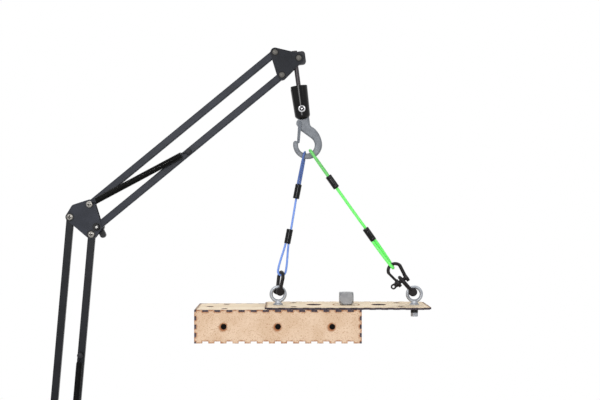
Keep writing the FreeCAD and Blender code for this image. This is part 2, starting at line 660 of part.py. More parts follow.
def barrel_block():
    """Tilting block between the head plates, bored for its pivot pin and for the hanger rod."""
    x, y, z = BARREL_WIDTH / 2, BARREL_DEPTH / 2, BARREL_HEIGHT / 2
    body = block(-x, x, -y, y, -z, z)
    body = body.makeFillet(BARREL_EDGE, [edge for edge in body.Edges if edge.BoundBox.YLength > 1])
    body = leaned(body, ROD_PIVOT, ROD_LEAN)
    pin = facing(cylinder(BARREL_PIN_RADIUS + RUNNING_CLEARANCE, 4 * y, -2 * y), ROD_PIVOT, 0)
    rod = cylinder(ROD_RADIUS + RUNNING_CLEARANCE, 2 * BARREL_HEIGHT, -BARREL_HEIGHT)
    return body.cut([pin, leaned(rod, ROD_FOOT, ROD_LEAN)])


def hanger_rod():
    """Round rod headed above the block, running down into the adapter."""
    top = ROD_DROP + BARREL_HEIGHT / 2 + FACE_CLEARANCE
    bottom = ADAPTER_CUP_FLOOR - ROD_SOCKET_DEPTH
    rod = cylinder(ROD_RADIUS, top - bottom, bottom)
    head = cylinder(ROD_HEAD_RADIUS, ROD_HEAD_HEIGHT, top)
    return in_rod_frame(rod.fuse(head).removeSplitter())


def hook_adapter():
    """Black turned sleeve: domed and slotted below for the hook, cupped above round the rod."""
    low, high = ADAPTER_LOW_RADIUS, ADAPTER_TOP_RADIUS
    arc = Part.Arc(
        V(0, 0, ADAPTER_BOTTOM),
        V(low * ADAPTER_DOME_SHARE, 0, ADAPTER_BOTTOM + ADAPTER_DOME_RISE),
        V(low, 0, ADAPTER_SHOULDER),
    ).toShape()
    lines = Part.makePolygon([
        V(low, 0, ADAPTER_SHOULDER), V(high, 0, ADAPTER_TOP), V(0, 0, ADAPTER_TOP), V(0, 0, ADAPTER_BOTTOM)
    ])
    body = Part.Face(Part.Wire([arc] + lines.Edges)).revolve(V(0, 0, 0), V(0, 0, 1), 360)
    socket_low = ADAPTER_CUP_FLOOR - ROD_SOCKET_DEPTH
    body = body.cut(cylinder(ADAPTER_CUP_RADIUS, ADAPTER_CUP_DEPTH, ADAPTER_CUP_FLOOR))
    body = body.cut(cylinder(ROD_RADIUS + RUNNING_CLEARANCE, ADAPTER_TOP - socket_low, socket_low))
    notch = ADAPTER_NOTCH_WIDTH / 2
    body = body.cut(block(-2 * high, 0, -notch, notch, ADAPTER_TOP - ADAPTER_NOTCH_DEPTH, ADAPTER_TOP))
    slot_x = HOOK_NECK_HALF + RUNNING_CLEARANCE
    slot_y = HOOK_THICKNESS / 2 + RUNNING_CLEARANCE
    body = body.cut(block(-slot_x, slot_x, -slot_y, slot_y, 0, HOOK_NECK_TOP + FACE_CLEARANCE))
    drill = cylinder(SET_SCREW_RADIUS + RUNNING_CLEARANCE, 4 * high, -2 * high)
    body = body.cut(facing(drill, (0, SET_SCREW_HEIGHT), 0))
    spot = cylinder(SET_HEAD_RADIUS + SEAT_CLEARANCE, high, SET_SEAT)
    return in_rod_frame(body.cut(facing(spot, (0, SET_SCREW_HEIGHT), 0)))


def adapter_set_screw():
    """Button-head screw that holds the adapter on the hook's neck."""
    shank = cylinder(SET_SCREW_RADIUS, 2 * SET_SEAT - SET_SEAT_DEPTH, -SET_SEAT + SET_SEAT_DEPTH)
    head = dome(SET_HEAD_RADIUS, SET_HEAD_HEIGHT, SET_SEAT)
    head = head.cut(hexagon(HEX_SOCKET_FLATS, SET_HEAD_HEIGHT, SET_SEAT + SET_SOCKET_FLOOR))
    return in_rod_frame(facing(shank.fuse(head).removeSplitter(), (0, SET_SCREW_HEIGHT), 0))


def arc_through(a, b, c, y):
    return Part.Arc(V(a[0], y, a[1]), V(b[0], y, b[1]), V(c[0], y, c[1])).toShape()


def line_between(a, b, y):
    return Part.LineSegment(V(a[0], y, a[1]), V(b[0], y, b[1])).toShape()


def bearing(start, end):
    """Degrees anticlockwise from +X of the line from start to end."""
    return math.degrees(math.atan2(end[1] - start[1], end[0] - start[0]))


def tangent_arc(start, heading, end, y):
    """The arc that leaves start on a heading and reaches end, and its heading there."""
    turn = (bearing(start, end) - heading + 180) % 360 - 180
    half_chord = math.dist(start, end) / 2
    middle = on_circle(start, half_chord / math.cos(math.radians(turn / 2)), heading + turn / 2)
    return arc_through(start, middle, end, y), heading + 2 * turn


def nose_centre():
    """Centre of the round nose that touches the bow's inner and outer circles."""
    to_inner = HOOK_INNER_RADIUS + HOOK_NOSE_RADIUS
    to_outer = HOOK_OUTER_RADIUS - HOOK_NOSE_RADIUS
    apart = math.hypot(*HOOK_OUTER_SHIFT)
    cosine = (to_inner**2 + apart**2 - to_outer**2) / (2 * to_inner * apart)
    return on_circle((0, 0), to_inner, bearing((0, 0), HOOK_OUTER_SHIFT) + math.degrees(math.acos(cosine)))


def hook_outline(y):
    """Closed outline of the hook at depth y: the rounded chain of edges, then the plain ones."""
    inner, outer = HOOK_INNER_RADIUS, HOOK_OUTER_RADIUS
    nose = nose_centre()
    nose_bearing_out = bearing(HOOK_OUTER_SHIFT, nose)
    nose_bearing_in = bearing((0, 0), nose)
    nose_out = on_circle(HOOK_OUTER_SHIFT, outer, nose_bearing_out)
    nose_in = on_circle((0, 0), inner, nose_bearing_in)
    nose_tip = on_circle(nose, HOOK_NOSE_RADIUS, (nose_bearing_out + nose_bearing_in) / 2 - 90)
    limb = on_circle(HOOK_OUTER_SHIFT, outer, HOOK_LIMB_BEARING)
    neck = HOOK_NECK_HALF
    limb_arc, heading = tangent_arc(limb, HOOK_LIMB_BEARING + 90, HOOK_SHOULDER, y)
    shoulder_arc, heading = tangent_arc(HOOK_SHOULDER, heading, HOOK_WAIST, y)
    drop = (HOOK_WAIST[0] - neck) / math.tan(math.radians((heading - 90) / 2))
    collar = (neck, HOOK_WAIST[1] + drop)
    waist_arc, _ = tangent_arc(HOOK_WAIST, heading, collar, y)
    throat = math.degrees(math.acos(inner / math.hypot(*HOOK_THROAT)))
    throat_low = on_circle((0, 0), inner, bearing((0, 0), HOOK_THROAT) - throat)
    rounded = [
        line_between((neck, HOOK_NECK_TOP), collar, y),
        waist_arc,
        shoulder_arc,
        limb_arc,
        arc_through(limb, on_circle(HOOK_OUTER_SHIFT, outer, 268), nose_out, y),
        arc_through(nose_out, nose_tip, nose_in, y),
        arc_through(nose_in, on_circle((0, 0), inner, 278), throat_low, y),
        line_between(throat_low, HOOK_THROAT, y),
    ]
    neck_left = (-neck, HOOK_BOSS_TOP[1] + 3.2)
    plain = [
        arc_through(HOOK_THROAT, (-7.9, 27.2), HOOK_BOSS_LOW, y),
        arc_through(HOOK_BOSS_LOW, (-11.2, 36.4), HOOK_BOSS_TOP, y),
        arc_through(HOOK_BOSS_TOP, (-8.3, 42.2), neck_left, y),
        line_between(neck_left, (-neck, HOOK_NECK_TOP), y),
        line_between((-neck, HOOK_NECK_TOP), (neck, HOOK_NECK_TOP), y),
    ]
    return rounded, plain


def hook_body():
    """Forged snap hook: crescent bow, swelling limb, flat neck and the gate's boss."""
    rounded, plain = hook_outline(-HOOK_THICKNESS / 2)
    body = Part.Face(Part.Wire(rounded + plain)).extrude(V(0, HOOK_THICKNESS, 0))
    middles = [edge.valueAt((edge.FirstParameter + edge.LastParameter) / 2) for edge in rounded]
    soft = [
        edge for edge in body.Edges
        if edge.BoundBox.YLength < 0.01
        and any(
            math.hypot(point.x - middle.x, point.z - middle.z) < 0.01
            for point in [edge.valueAt((edge.FirstParameter + edge.LastParameter) / 2)]
            for middle in middles
        )
    ]
    body = body.makeFillet(HOOK_EDGE, soft)
    half = GATE_BAR_DEPTH / 2 + SEAT_CLEARANCE
    room = GATE_TIP_RADIUS + SEAT_CLEARANCE
    body = body.cut(block(GATE_TIP[0] - room, 0, -half, half, GATE_TIP[1] - room, HOOK_INNER_RADIUS))
    drill = cylinder(GATE_PIN_RADIUS + RUNNING_CLEARANCE, 2 * HOOK_THICKNESS, -HOOK_THICKNESS)
    body = body.cut(facing(drill, GATE_PIVOT, 0))
    screw = cylinder(SET_SCREW_RADIUS + RUNNING_CLEARANCE, 2 * HOOK_THICKNESS, -HOOK_THICKNESS)
    return in_rod_frame(body.cut(facing(screw, (0, SET_SCREW_HEIGHT), 0)))


def hook_gate_pin():
    """Pin through the hook's boss and the two eyes of the gate."""
    half = HOOK_THICKNESS / 2 + 2 * SEAT_CLEARANCE + GATE_CHEEK
    return in_rod_frame(facing(cylinder(GATE_PIN_RADIUS, 2 * half, -half), GATE_PIVOT, 0))


def hook_gate():
    """Sprung gate: two cheeks straddle the boss and join in a bar that closes inside the nose."""
    inside = HOOK_THICKNESS / 2 + SEAT_CLEARANCE
    outside = inside + GATE_CHEEK
    eye, tip = (*GATE_PIVOT, GATE_EYE_RADIUS), (*GATE_TIP, GATE_TIP_RADIUS)
    joined = [
        tuple(top + share * (bottom - top) for top, bottom in zip(eye, tip)) for share in GATE_BRIDGE
    ]
    bridge = hull_plate([joined[1], joined[0]], -outside, 2 * outside)
    pieces = [hull_plate([joined[1], eye], y, GATE_CHEEK) for y in (-outside, inside)]
    pieces.append(hull_plate([tip, joined[0]], -GATE_BAR_DEPTH / 2, GATE_BAR_DEPTH))
    drill = cylinder(GATE_PIN_RADIUS + RUNNING_CLEARANCE, 2 * outside, -outside)
    return in_rod_frame(bridge.fuse(pieces).cut(facing(drill, GATE_PIVOT, 0)).removeSplitter())


def sling_frame(bow):
    """Unit vectors of a sling's line from the hook's bow centre: along it and across it in XZ."""
    run = V(bow[0] - BOW[0], 0, bow[1] - BOW[1])
    length = run.Length
    run.normalize()
    return length, run, V(-run.z, 0, run.x)


def upper_eye(bow, rope, ferrule):
    """Rope loop over the hook's bow, from inside the first ferrule and back into it."""
    _, run, _ = sling_frame(bow)
    origin = V(BOW[0], 0, BOW[1])
    half = EYE_SPREAD + rope
    apex = HOOK_INNER_RADIUS - SEAT_CLEARANCE - rope
    mouth = ferrule - FERRULE_LENGTH / 2
    tail = ferrule + EYE_TAIL

    def at(distance, y):
        return origin + run * distance + V(0, y, 0)

    strand = rope + STRAND_GAP
    points = [
        at(ferrule, strand), at(mouth - 1, strand), at(apex + 2 * half, half), at(apex, half),
        at(apex, -half), at(apex + 2 * half, -half), at(mouth - 1, -strand), at(tail, -strand),
    ]
    return cord_wire(points, {3: half - ARC_SHORTFALL, 4: half - ARC_SHORTFALL})


def lower_sling(bow, rope, ferrules, turn_across):
    """Rope from inside the first ferrule, through the second, round the shackle and back."""
    length, run, across = sling_frame(bow)
    origin = V(BOW[0], 0, BOW[1])
    strand = rope + STRAND_GAP
    second_top = ferrules[1] - FERRULE_LENGTH / 2
    second_low = ferrules[1] + FERRULE_LENGTH / 2

    def at(distance, side):
        lateral = across * side if turn_across else V(0, side, 0)
        return origin + run * distance + lateral

    start = origin + run * (ferrules[0] + SEAT_CLEARANCE) + V(0, strand, 0)
    seat = SHACKLE_WIRE + SEAT_CLEARANCE + rope
    half = BLUE_LOOP_HALF if turn_across else seat
    wide = length - (BLUE_LOOP_RISE if turn_across else 2 * seat)
    bottom = length + seat
    arc = min(half, bottom - length + 0.6)
    twist = [at(second_top - 1, strand)] if turn_across else []
    points = [
        start, *twist, at(second_low + 1, strand), at(wide, half), at(bottom, half * 0.98),
        at(bottom, -half * 0.98), at(wide, -half), at(second_low + 1, -strand), at(second_top + 1, -strand),
    ]
    first_corner = 3 + len(twist)
    return cord_wire(points, {first_corner: arc - ARC_SHORTFALL, first_corner + 1: arc - ARC_SHORTFALL})


def ferrule(bow, distance, rope, turn_across):
    """Crimped sleeve: round outside, a slot inside for the two strands side by side."""
    _, run, _ = sling_frame(bow)
    strand = rope + STRAND_GAP
    outer_y = max(FERRULE_RADIUS, strand + rope + SEAT_CLEARANCE + FERRULE_WALL)
    low = -FERRULE_LENGTH / 2
    shift = outer_y - FERRULE_RADIUS
    slot_half = rope + SEAT_CLEARANCE
    body = stadium(FERRULE_RADIUS, shift, FERRULE_LENGTH, low)
    body = body.makeChamfer(FERRULE_EDGE, [edge for edge in body.Edges if edge.BoundBox.ZLength < 0.01])
    body = body.cut(stadium(slot_half, strand, FERRULE_LENGTH, low))
    if turn_across:
        body.rotate(V(0, 0, 0), V(0, 0, 1), 90)
    lean = math.degrees(math.atan2(-run.x, -run.z))
    point = (BOW[0] + run.x * distance, BOW[1] + run.z * distance)
    return leaned(body, point, lean)


def stadium(radius, shift, height, z):
    """Upright prism of two half circles, shift each way along Y from the axis."""
    if shift < 0.01:
        return cylinder(radius, height, z)
    right = Part.Arc(V(radius, shift, z), V(0, shift + radius, z), V(-radius, shift, z)).toShape()
    left = Part.Arc(V(-radius, -shift, z), V(0, -shift - radius, z), V(radius, -shift, z)).toShape()
    sides = [
        Part.LineSegment(V(-radius, shift, z), V(-radius, -shift, z)).toShape(),
        Part.LineSegment(V(radius, -shift, z), V(radius, shift, z)).toShape(),
    ]
    return Part.Face(Part.Wire([right, sides[0], left, sides[1]])).extrude(V(0, 0, height))


def shackle_body():
    """Bow shackle, pin centre at the origin, pin along X and bow up Z."""
    ear_x = SHACKLE_JAW / 2 + SHACKLE_EAR_THICKNESS / 2
    ring = SHACKLE_BOW_RADIUS + SHACKLE_WIRE
    centre = SHACKLE_INSIDE - SHACKLE_BOW_RADIUS
    start = V(ear_x, 0, SHACKLE_SPRINGING)
    rise = centre - SHACKLE_SPRINGING
    out = math.atan2(rise, ear_x) - math.acos(ring / math.hypot(ear_x, rise))
    tangent = V(ring * math.cos(out), 0, centre + ring * math.sin(out))
    mirrored = V(-tangent.x, 0, tangent.z)
    wire = Part.Wire([
        Part.LineSegment(start, tangent).toShape(),
        Part.Arc(tangent, V(0, 0, centre + ring), mirrored).toShape(),
        Part.LineSegment(mirrored, V(-start.x, 0, start.z)).toShape(),
    ])
    body = tube_along(wire, SHACKLE_WIRE)
    for side in (-1, 1):
        low = side * ear_x - SHACKLE_EAR_THICKNESS / 2
        ear = along_x(SHACKLE_EAR_RADIUS, SHACKLE_EAR_THICKNESS, low)
        ear = ear.makeFillet(SHACKLE_EAR_EDGE, [edge for edge in ear.Edges if len(edge.Vertexes) == 1])
        body = body.fuse(ear)
    bore = along_x(SHACKLE_PIN_RADIUS + SLACK_CLEARANCE, 4 * SHACKLE_JAW, -2 * SHACKLE_JAW)
    return body.cut(bore).removeSplitter()


def shackle_pin():
    """Screw pin along X with a collar and a flat drilled eye at its -X end."""
    half = SHACKLE_JAW / 2 + SHACKLE_EAR_THICKNESS
    collar_x = -half - FACE_CLEARANCE - SHACKLE_COLLAR_HEIGHT
    pin = along_x(SHACKLE_PIN_RADIUS, half - collar_x, collar_x)
    collar = along_x(SHACKLE_COLLAR_RADIUS, SHACKLE_COLLAR_HEIGHT, collar_x)
    eye_x = collar_x - SHACKLE_EYE_REACH
    thick = SHACKLE_EYE_THICKNESS
    root = (collar_x + SHACKLE_COLLAR_HEIGHT / 2, 0.0, SHACKLE_EYE_ROOT)
    tab = hull_plate([(eye_x, 0.0, SHACKLE_EYE_RADIUS), root], -thick / 2, thick)
    hole = facing(cylinder(SHACKLE_EYE_HOLE, 2 * thick, -thick), (eye_x, 0), 0)
    return pin.fuse([collar, tab]).cut(hole).removeSplitter()


def set_shackle(shape, pin_centre, lean, turn):
    """Turn a shackle about its length, then lean it and set its pin on (x, z)."""
    placed = shape.copy()
    placed.rotate(V(0, 0, 0), V(0, 0, 1), turn)
    return leaned(placed, pin_centre, lean)


def eye_bolt(x):
    """Eye bolt: ring in the XZ plane on a flared collar, with a shank down through the boards."""
    ring_radius = RING_INNER_RADIUS + RING_WIRE
    ring = Part.makeTorus(ring_radius, RING_WIRE, V(0, 0, RING_RISE), V(0, 1, 0))
    neck_top = RING_RISE - ring_radius + RING_WIRE * (1 - EYE_RING_SINK)
    collar = turned([
        (0, 0), (EYE_COLLAR_RADIUS, 0), (EYE_COLLAR_RADIUS, EYE_COLLAR_HEIGHT / 2),
        (EYE_NECK_RADIUS, EYE_COLLAR_HEIGHT), (EYE_NECK_RADIUS * EYE_NECK_TAPER, neck_top), (0, neck_top),
    ])
    half = EYE_COLLAR_RADIUS
    collar = collar.cut(facing(cylinder(RING_INNER_RADIUS, 2 * half, -half), (0, RING_RISE), 0))
    shank_length = eye_shank_length(x)
    shank = cylinder(EYE_SHANK_RADIUS, shank_length + EYE_COLLAR_HEIGHT, -shank_length)
    return moved(collar.fuse([ring, shank]).removeSplitter(), x, 0, PLATE_BOTTOM + BOARD)


def boards_under(x):
    """Thickness of the boards that a bolt at x passes through."""
    return BOARD * (2 if x < BOX_CENTRE_X + BOX_LENGTH / 2 else 1)


def eye_shank_length(x):
    return boards_under(x) + EYE_WASHER_HEIGHT + EYE_NUT_HEIGHT


def eye_washer(x):
    under = PLATE_BOTTOM + BOARD - boards_under(x)
    ring = cylinder(EYE_WASHER_RADIUS, EYE_WASHER_HEIGHT)
    ring = ring.cut(cylinder(EYE_SHANK_RADIUS + RUNNING_CLEARANCE, EYE_WASHER_HEIGHT))
    return moved(ring, x, 0, under - EYE_WASHER_HEIGHT)


def eye_nut(x):
    under = PLATE_BOTTOM + BOARD - boards_under(x) - EYE_WASHER_HEIGHT
    return moved(nut(EYE_NUT_FLATS, EYE_NUT_HEIGHT, EYE_SHANK_RADIUS), x, 0, under - EYE_NUT_HEIGHT)


def square_head_bolt():
    """Square-headed bolt: a square block turned down at its corners, on a round collar."""
    half = SQUARE_HEAD / 2
    top = SQUARE_COLLAR_HEIGHT + SQUARE_HEAD_HEIGHT
    middle = (SQUARE_COLLAR_HEIGHT + top) / 2
    head = block(-half, half, -half, half, SQUARE_COLLAR_HEIGHT, top)
    head = head.common(Part.makeSphere(SQUARE_CORNER_RADIUS, V(0, 0, middle)))
    collar = cylinder(SQUARE_COLLAR_RADIUS, SQUARE_COLLAR_HEIGHT)
    shank_length = 2 * BOARD + SQUARE_NUT_HEIGHT + SQUARE_SHANK_SPARE
    shank = cylinder(SQUARE_SHANK_RADIUS, shank_length + SQUARE_COLLAR_HEIGHT, -shank_length)
    return moved(head.fuse([collar, shank]).removeSplitter(), PLATE_CENTRE_X, 0, PLATE_BOTTOM + BOARD)


def square_bolt_nut():
    low = PLATE_BOTTOM - BOARD - SQUARE_NUT_HEIGHT
    return moved(nut(SQUARE_NUT_FLATS, SQUARE_NUT_HEIGHT, SQUARE_SHANK_RADIUS), PLATE_CENTRE_X, 0, low)


def finger_spans(length, count, odd):
    """The (low, high) spans of a board's fingers along an edge, about the edge's middle."""
    pitch = (length - 2 * BOARD) / count
    first = -length / 2 + BOARD
    return [(first + i * pitch, first + (i + 1) * pitch) for i in range(count) if i % 2 == int(odd)]


def fingered_board(length, width, long_odd, short_odd, counts, corners=()):
    """Flat board in XY, BOARD thick, with fingers on its four edges.

    counts are the fingers along the long and the short edges, and corners lists (x, y) signs of
    corners that belong to this board.
    """
    x, y = length / 2, width / 2
    pieces = [block(-x + BOARD, x - BOARD, -y + BOARD, y - BOARD, 0, BOARD)]
    for low, high in finger_spans(length, counts[0], long_odd):
        pieces.append(block(low, high, y - BOARD, y, 0, BOARD))
        pieces.append(block(low, high, -y, -y + BOARD, 0, BOARD))
    for low, high in finger_spans(width, counts[1], short_odd):
        pieces.append(block(x - BOARD, x, low, high, 0, BOARD))
        pieces.append(block(-x, -x + BOARD, low, high, 0, BOARD))
    for side_x, side_y in corners:
        x_low, y_low = min(side_x * x, side_x * (x - BOARD)), min(side_y * y, side_y * (y - BOARD))
        pieces.append(Part.makeBox(BOARD, BOARD, BOARD, V(x_low, y_low, 0)))
    return pieces[0].fuse(pieces[1:]).removeSplitter()


def drilled(board, holes):
    """The board with through holes (x, y, radius)."""
    for x, y, radius in holes:
        board = board.cut(moved(cylinder(radius, BOARD), x, y, 0))
    return board


def corner_holes():
    """The four small holes of a board, one towards each corner."""
    return [
        (x, y, SMALL_HOLE_RADIUS) for x in (-SMALL_HOLE_X, SMALL_HOLE_X) for y in (-SMALL_HOLE_Y, SMALL_HOLE_Y)
    ]


def box_side(front):
    """Long upright side of the box with its three round holes."""
    board = fingered_board(BOX_LENGTH, BOX_HEIGHT, False, False, (LONG_FINGERS, HEIGHT_FINGERS))
    board = drilled(board, [(x, 0, SIDE_HOLE_RADIUS) for x in (-SMALL_HOLE_X, 0, SMALL_HOLE_X)])
    board.rotate(V(0, 0, 0), V(1, 0, 0), 90)
    y = -BOX_WIDTH / 2 + BOARD if front else BOX_WIDTH / 2
    return moved(board, BOX_CENTRE_X, y, (BOX_TOP + BOX_BOTTOM) / 2)


def box_end(side):
    """Short upright end of the box, which owns the corners."""
    corners = [(i, j) for i in (-1, 1) for j in (-1, 1)]
    board = fingered_board(BOX_WIDTH, BOX_HEIGHT, False, True, (WIDTH_FINGERS, HEIGHT_FINGERS), corners)
    board.rotate(V(0, 0, 0), V(1, 0, 0), 90)
    board.rotate(V(0, 0, 0), V(0, 0, 1), 90)
    x = BOX_CENTRE_X + side * BOX_LENGTH / 2 - (BOARD if side > 0 else 0)
    return moved(board, x, 0, (BOX_TOP + BOX_BOTTOM) / 2)


def box_top():
    """Top board of the box, bored for the eye bolt, the square-headed bolt and spare fixings."""
    board = fingered_board(BOX_LENGTH, BOX_WIDTH, True, True, (LONG_FINGERS, WIDTH_FINGERS))
    square_bolt_x = PLATE_CENTRE_X - BOX_CENTRE_X
    holes = corner_holes()
    holes += [(x, 0, SQUARE_SHANK_RADIUS + RUNNING_CLEARANCE) for x in (-square_bolt_x, square_bolt_x)]
    holes += [(LEFT_RING[0] - BOX_CENTRE_X, 0, EYE_SHANK_RADIUS + RUNNING_CLEARANCE)]
    return moved(drilled(board, holes), BOX_CENTRE_X, 0, BOX_TOP - BOARD)


def top_plate():
    """Plate on the box, notched for fingers all round, with light holes and an engraved circle."""
    board = fingered_board(PLATE_LENGTH, PLATE_WIDTH, True, True, (LONG_FINGERS, WIDTH_FINGERS))
    holes = corner_holes()
    holes += [(x, 0, LIGHT_HOLE_RADIUS) for x in (-LIGHT_HOLE_X, LIGHT_HOLE_X)]
    holes += [(x, 0, EYE_SHANK_RADIUS + RUNNING_CLEARANCE) for x in (-RING_SPACING, RING_SPACING)]
    holes += [(0, 0, SQUARE_SHANK_RADIUS + RUNNING_CLEARANCE)]
    board = drilled(board, holes)
    floor = BOARD - ENGRAVED_DEPTH
    groove = cylinder(ENGRAVED_RADIUS + ENGRAVED_WIDTH, BOARD, floor)
    groove = groove.cut(cylinder(ENGRAVED_RADIUS, BOARD, floor))
    return moved(board.cut(groove), PLATE_CENTRE_X, 0, PLATE_BOTTOM)


def ballast_bar():
    """Steel block under the box's top that brings the load's centre of mass under the hook."""
    length, width, height = BALLAST_SIZE
    top = BOX_TOP - BOARD
    return block(BALLAST_X - length / 2, BALLAST_X + length / 2, -width / 2, width / 2, top - height, top)


def build_clamp():
    save("clamp_frame", clamp_frame())
    save("clamp_screw", clamp_screw())
    save("clamp_pad", clamp_pad())
    save("clamp_tommy_bar", clamp_tommy_bar())
    save("socket_thumbscrew", socket_thumbscrew())


def build_base():
    save("base_post", base_post())
    foot = COLLAR_TOP + BASE_FOOT_RISE
    circles = [
        (-BASE_FOOT_X, foot, BASE_FOOT_CORNER), (BASE_FOOT_X, foot, BASE_FOOT_CORNER),
        (*BASE_PIVOT_RIGHT, PLATE_CORNER), (*BASE_SPRING_PIN, PLATE_CORNER), (*BASE_PIVOT_LEFT, PLATE_CORNER),
    ]
    holes = [(*point, PIVOT_RADIUS) for point in [BASE_PIVOT_LEFT, BASE_PIVOT_RIGHT, *BASE_RIVETS]]
    stud_hole = (*BASE_SPRING_PIN, PIVOT_RADIUS)
    save("base_plate_front", side_plate(circles, [*holes, stud_hole], True))
    save("base_plate_rear", side_plate(circles, holes, False))
    pivots = [BASE_PIVOT_LEFT, BASE_PIVOT_RIGHT]
    save("base_pivot_screws", *[pivot_screw(point) for point in pivots], spring_stud(BASE_SPRING_PIN))
    save("base_rivets", *[rivet(point) for point in BASE_RIVETS])
    save("base_nuts", *[pivot_nut(point) for point in pivots])


def build_lower_arm():
    save("lower_bar_left", bar(LOWER_LENGTH, LOWER_LEAN, BASE_PIVOT_LEFT))
    save("lower_bar_right", bar(LOWER_LENGTH, LOWER_LEAN, BASE_PIVOT_RIGHT, (SPRING_ANCHOR,)))
    stud, lock = anchor_stud(LOWER_ANCHOR)
    save("lower_spring_anchor", stud, lock)
    save("lower_spring", tension_spring(BASE_SPRING_PIN, LOWER_ANCHOR, SPRING_LOOP_Y, SPRING_LOOP_Y))


def build_elbow():
    corner = offset(ELBOW_LEFT, ELBOW_SHOULDER)
    circles = [
        (*ELBOW_LEFT, PLATE_CORNER), (*ELBOW_RIGHT, ELBOW_CORNER), (*ELBOW_KNOB, ELBOW_CORNER),
        (*ELBOW_TOP, ELBOW_CORNER), (*corner, PLATE_CORNER),
    ]
    pivots = [ELBOW_LEFT, ELBOW_RIGHT, ELBOW_TOP]
    holes = [(*point, PIVOT_RADIUS) for point in pivots] + [(*ELBOW_KNOB, KNOB_BOLT_RADIUS)]
    save("elbow_plate_front", side_plate(circles, holes, True))
    save("elbow_plate_rear", side_plate(circles, holes, False))
    screws = [pivot_screw(ELBOW_LEFT), pivot_screw(ELBOW_RIGHT)]
    save("elbow_pivot_screws", *screws, pivot_screw(ELBOW_TOP, SPRING_NECK_LENGTH))
    save("elbow_nuts", *[pivot_nut(point) for point in pivots])
    save("elbow_knob_bolt", knob_bolt())
    save("elbow_wing_knob", wing_knob())


def build_upper_arm():
    save("upper_bar_top", bar(UPPER_LENGTH, UPPER_LEAN, ELBOW_TOP))
    low = bar(UPPER_LENGTH, UPPER_LEAN, ELBOW_KNOB, (SPRING_ANCHOR,))
    save("upper_bar_low", low.cut(drill_across(KNOB_BOLT_RADIUS, ELBOW_KNOB)))
    stud, lock = anchor_stud(UPPER_ANCHOR)
    save("upper_spring_anchor", stud, lock)
    save("upper_spring", tension_spring(ELBOW_TOP, UPPER_ANCHOR, SPRING_LOOP_Y, SPRING_LOOP_Y))


def build_head():
    circles = [(*HEAD_TOP, HEAD_CORNER), (*HEAD_LOW, HEAD_CORNER), (*ROD_PIVOT, HEAD_CORNER)]
    holes = [(*HEAD_TOP, PIVOT_RADIUS), (*HEAD_LOW, PIVOT_RADIUS), (*ROD_PIVOT, BARREL_PIN_RADIUS)]
    save("head_plate_front", side_plate(circles, holes, True))
    save("head_plate_rear", side_plate(circles, holes, False))
    save("head_rivets", rivet(HEAD_TOP), rivet(HEAD_LOW))
    save("barrel_pivot_pin", rivet(ROD_PIVOT, BARREL_PIN_RADIUS))
    save("barrel_block", barrel_block())


def build_hook():
    save("hanger_rod", hanger_rod())
    save("hook_adapter", hook_adapter())
    save("adapter_set_screw", adapter_set_screw())
    save("hook_body", hook_body())
    save("hook_gate_pin", hook_gate_pin())
    save("hook_gate", hook_gate())


def build_sling(name, bow, rope, ferrules, turn_across):
    """One wire sling as its loop over the hook, its long leg and its two ferrules."""
    eye_wire, eye_radii = upper_eye(bow, rope, ferrules[0])
    leg_wire, leg_radii = lower_sling(bow, rope, ferrules, turn_across)
    for part_name, wire, radii in (("upper_eye", eye_wire, eye_radii), ("sling", leg_wire, leg_radii)):
        tube = tube_along(wire, rope)
        share = tube.Volume / (math.pi * rope * rope * wire.Length)
        print(f"{name}_{part_name}: length {wire.Length:.1f}, radii {radii}, volume share {share:.4f}")
        save(f"{name}_{part_name}", tube)
    save(
        f"{name}_ferrules",
        ferrule(bow, ferrules[0], rope, False),
        ferrule(bow, ferrules[1], rope, turn_across),
    )


def build_shackles():
    """Three like shackles; the two on the right share a node for their pins."""
    body, pin = shackle_body(), shackle_pin()
    left = (LEFT_PIN, LEFT_SHACKLE_LEAN, -90 + LEFT_SHACKLE_TURN)
    lower = (LOWER_PIN, RIGHT_LOWER_LEAN, -90)
    upper = (UPPER_PIN, RIGHT_UPPER_LEAN, 0)
    save("left_shackle", set_shackle(body, *left))
    save("right_lower_shackle", set_shackle(body, *lower))
    save("right_upper_shackle", set_shackle(body, *upper))
    save("left_shackle_pin", set_shackle(pin, *left))
    save("right_shackle_pins", set_shackle(pin, *lower), set_shackle(pin, *upper))


def build_load():
    rings = (LEFT_RING[0], RIGHT_RING[0])
    save("left_eye_bolt", eye_bolt(rings[0]))
    save("right_eye_bolt", eye_bolt(rings[1]))
    save("eye_bolt_washers", *[eye_washer(x) for x in rings])
    save("eye_bolt_nuts", *[eye_nut(x) for x in rings])
    save("square_head_bolt", square_head_bolt())
    save("square_bolt_nut", square_bolt_nut())
    save("top_plate", top_plate())
    save("box_front", box_side(True))
    save("box_rear", box_side(False))
    save("box_end_left", box_end(-1))
    save("box_end_right", box_end(1))
    save("box_top", box_top())
    save("ballast_bar", ballast_bar())


os.makedirs("parts", exist_ok=True)
build_clamp()
build_base()
build_lower_arm()
build_elbow()
build_upper_arm()
build_head()
build_hook()
build_sling("blue", LEFT_BOW, BLUE_ROPE_RADIUS, BLUE_FERRULES, True)
build_sling("green", RIGHT_BOW, GREEN_ROPE_RADIUS, GREEN_FERRULES, False)
build_shackles()
build_load()
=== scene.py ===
"""Finishes, studio and fine pieces for a clamp arm that hangs a laser-cut box from two wire slings.

Metres, in the frame's own axes: +X from the post towards the load, +Y away from the front, +Z up.
Sizes that name a part of the object are in millimetres and are scaled once, by MM.
"""
import math

import bmesh
import bpy
from mathutils import Matrix, Vector


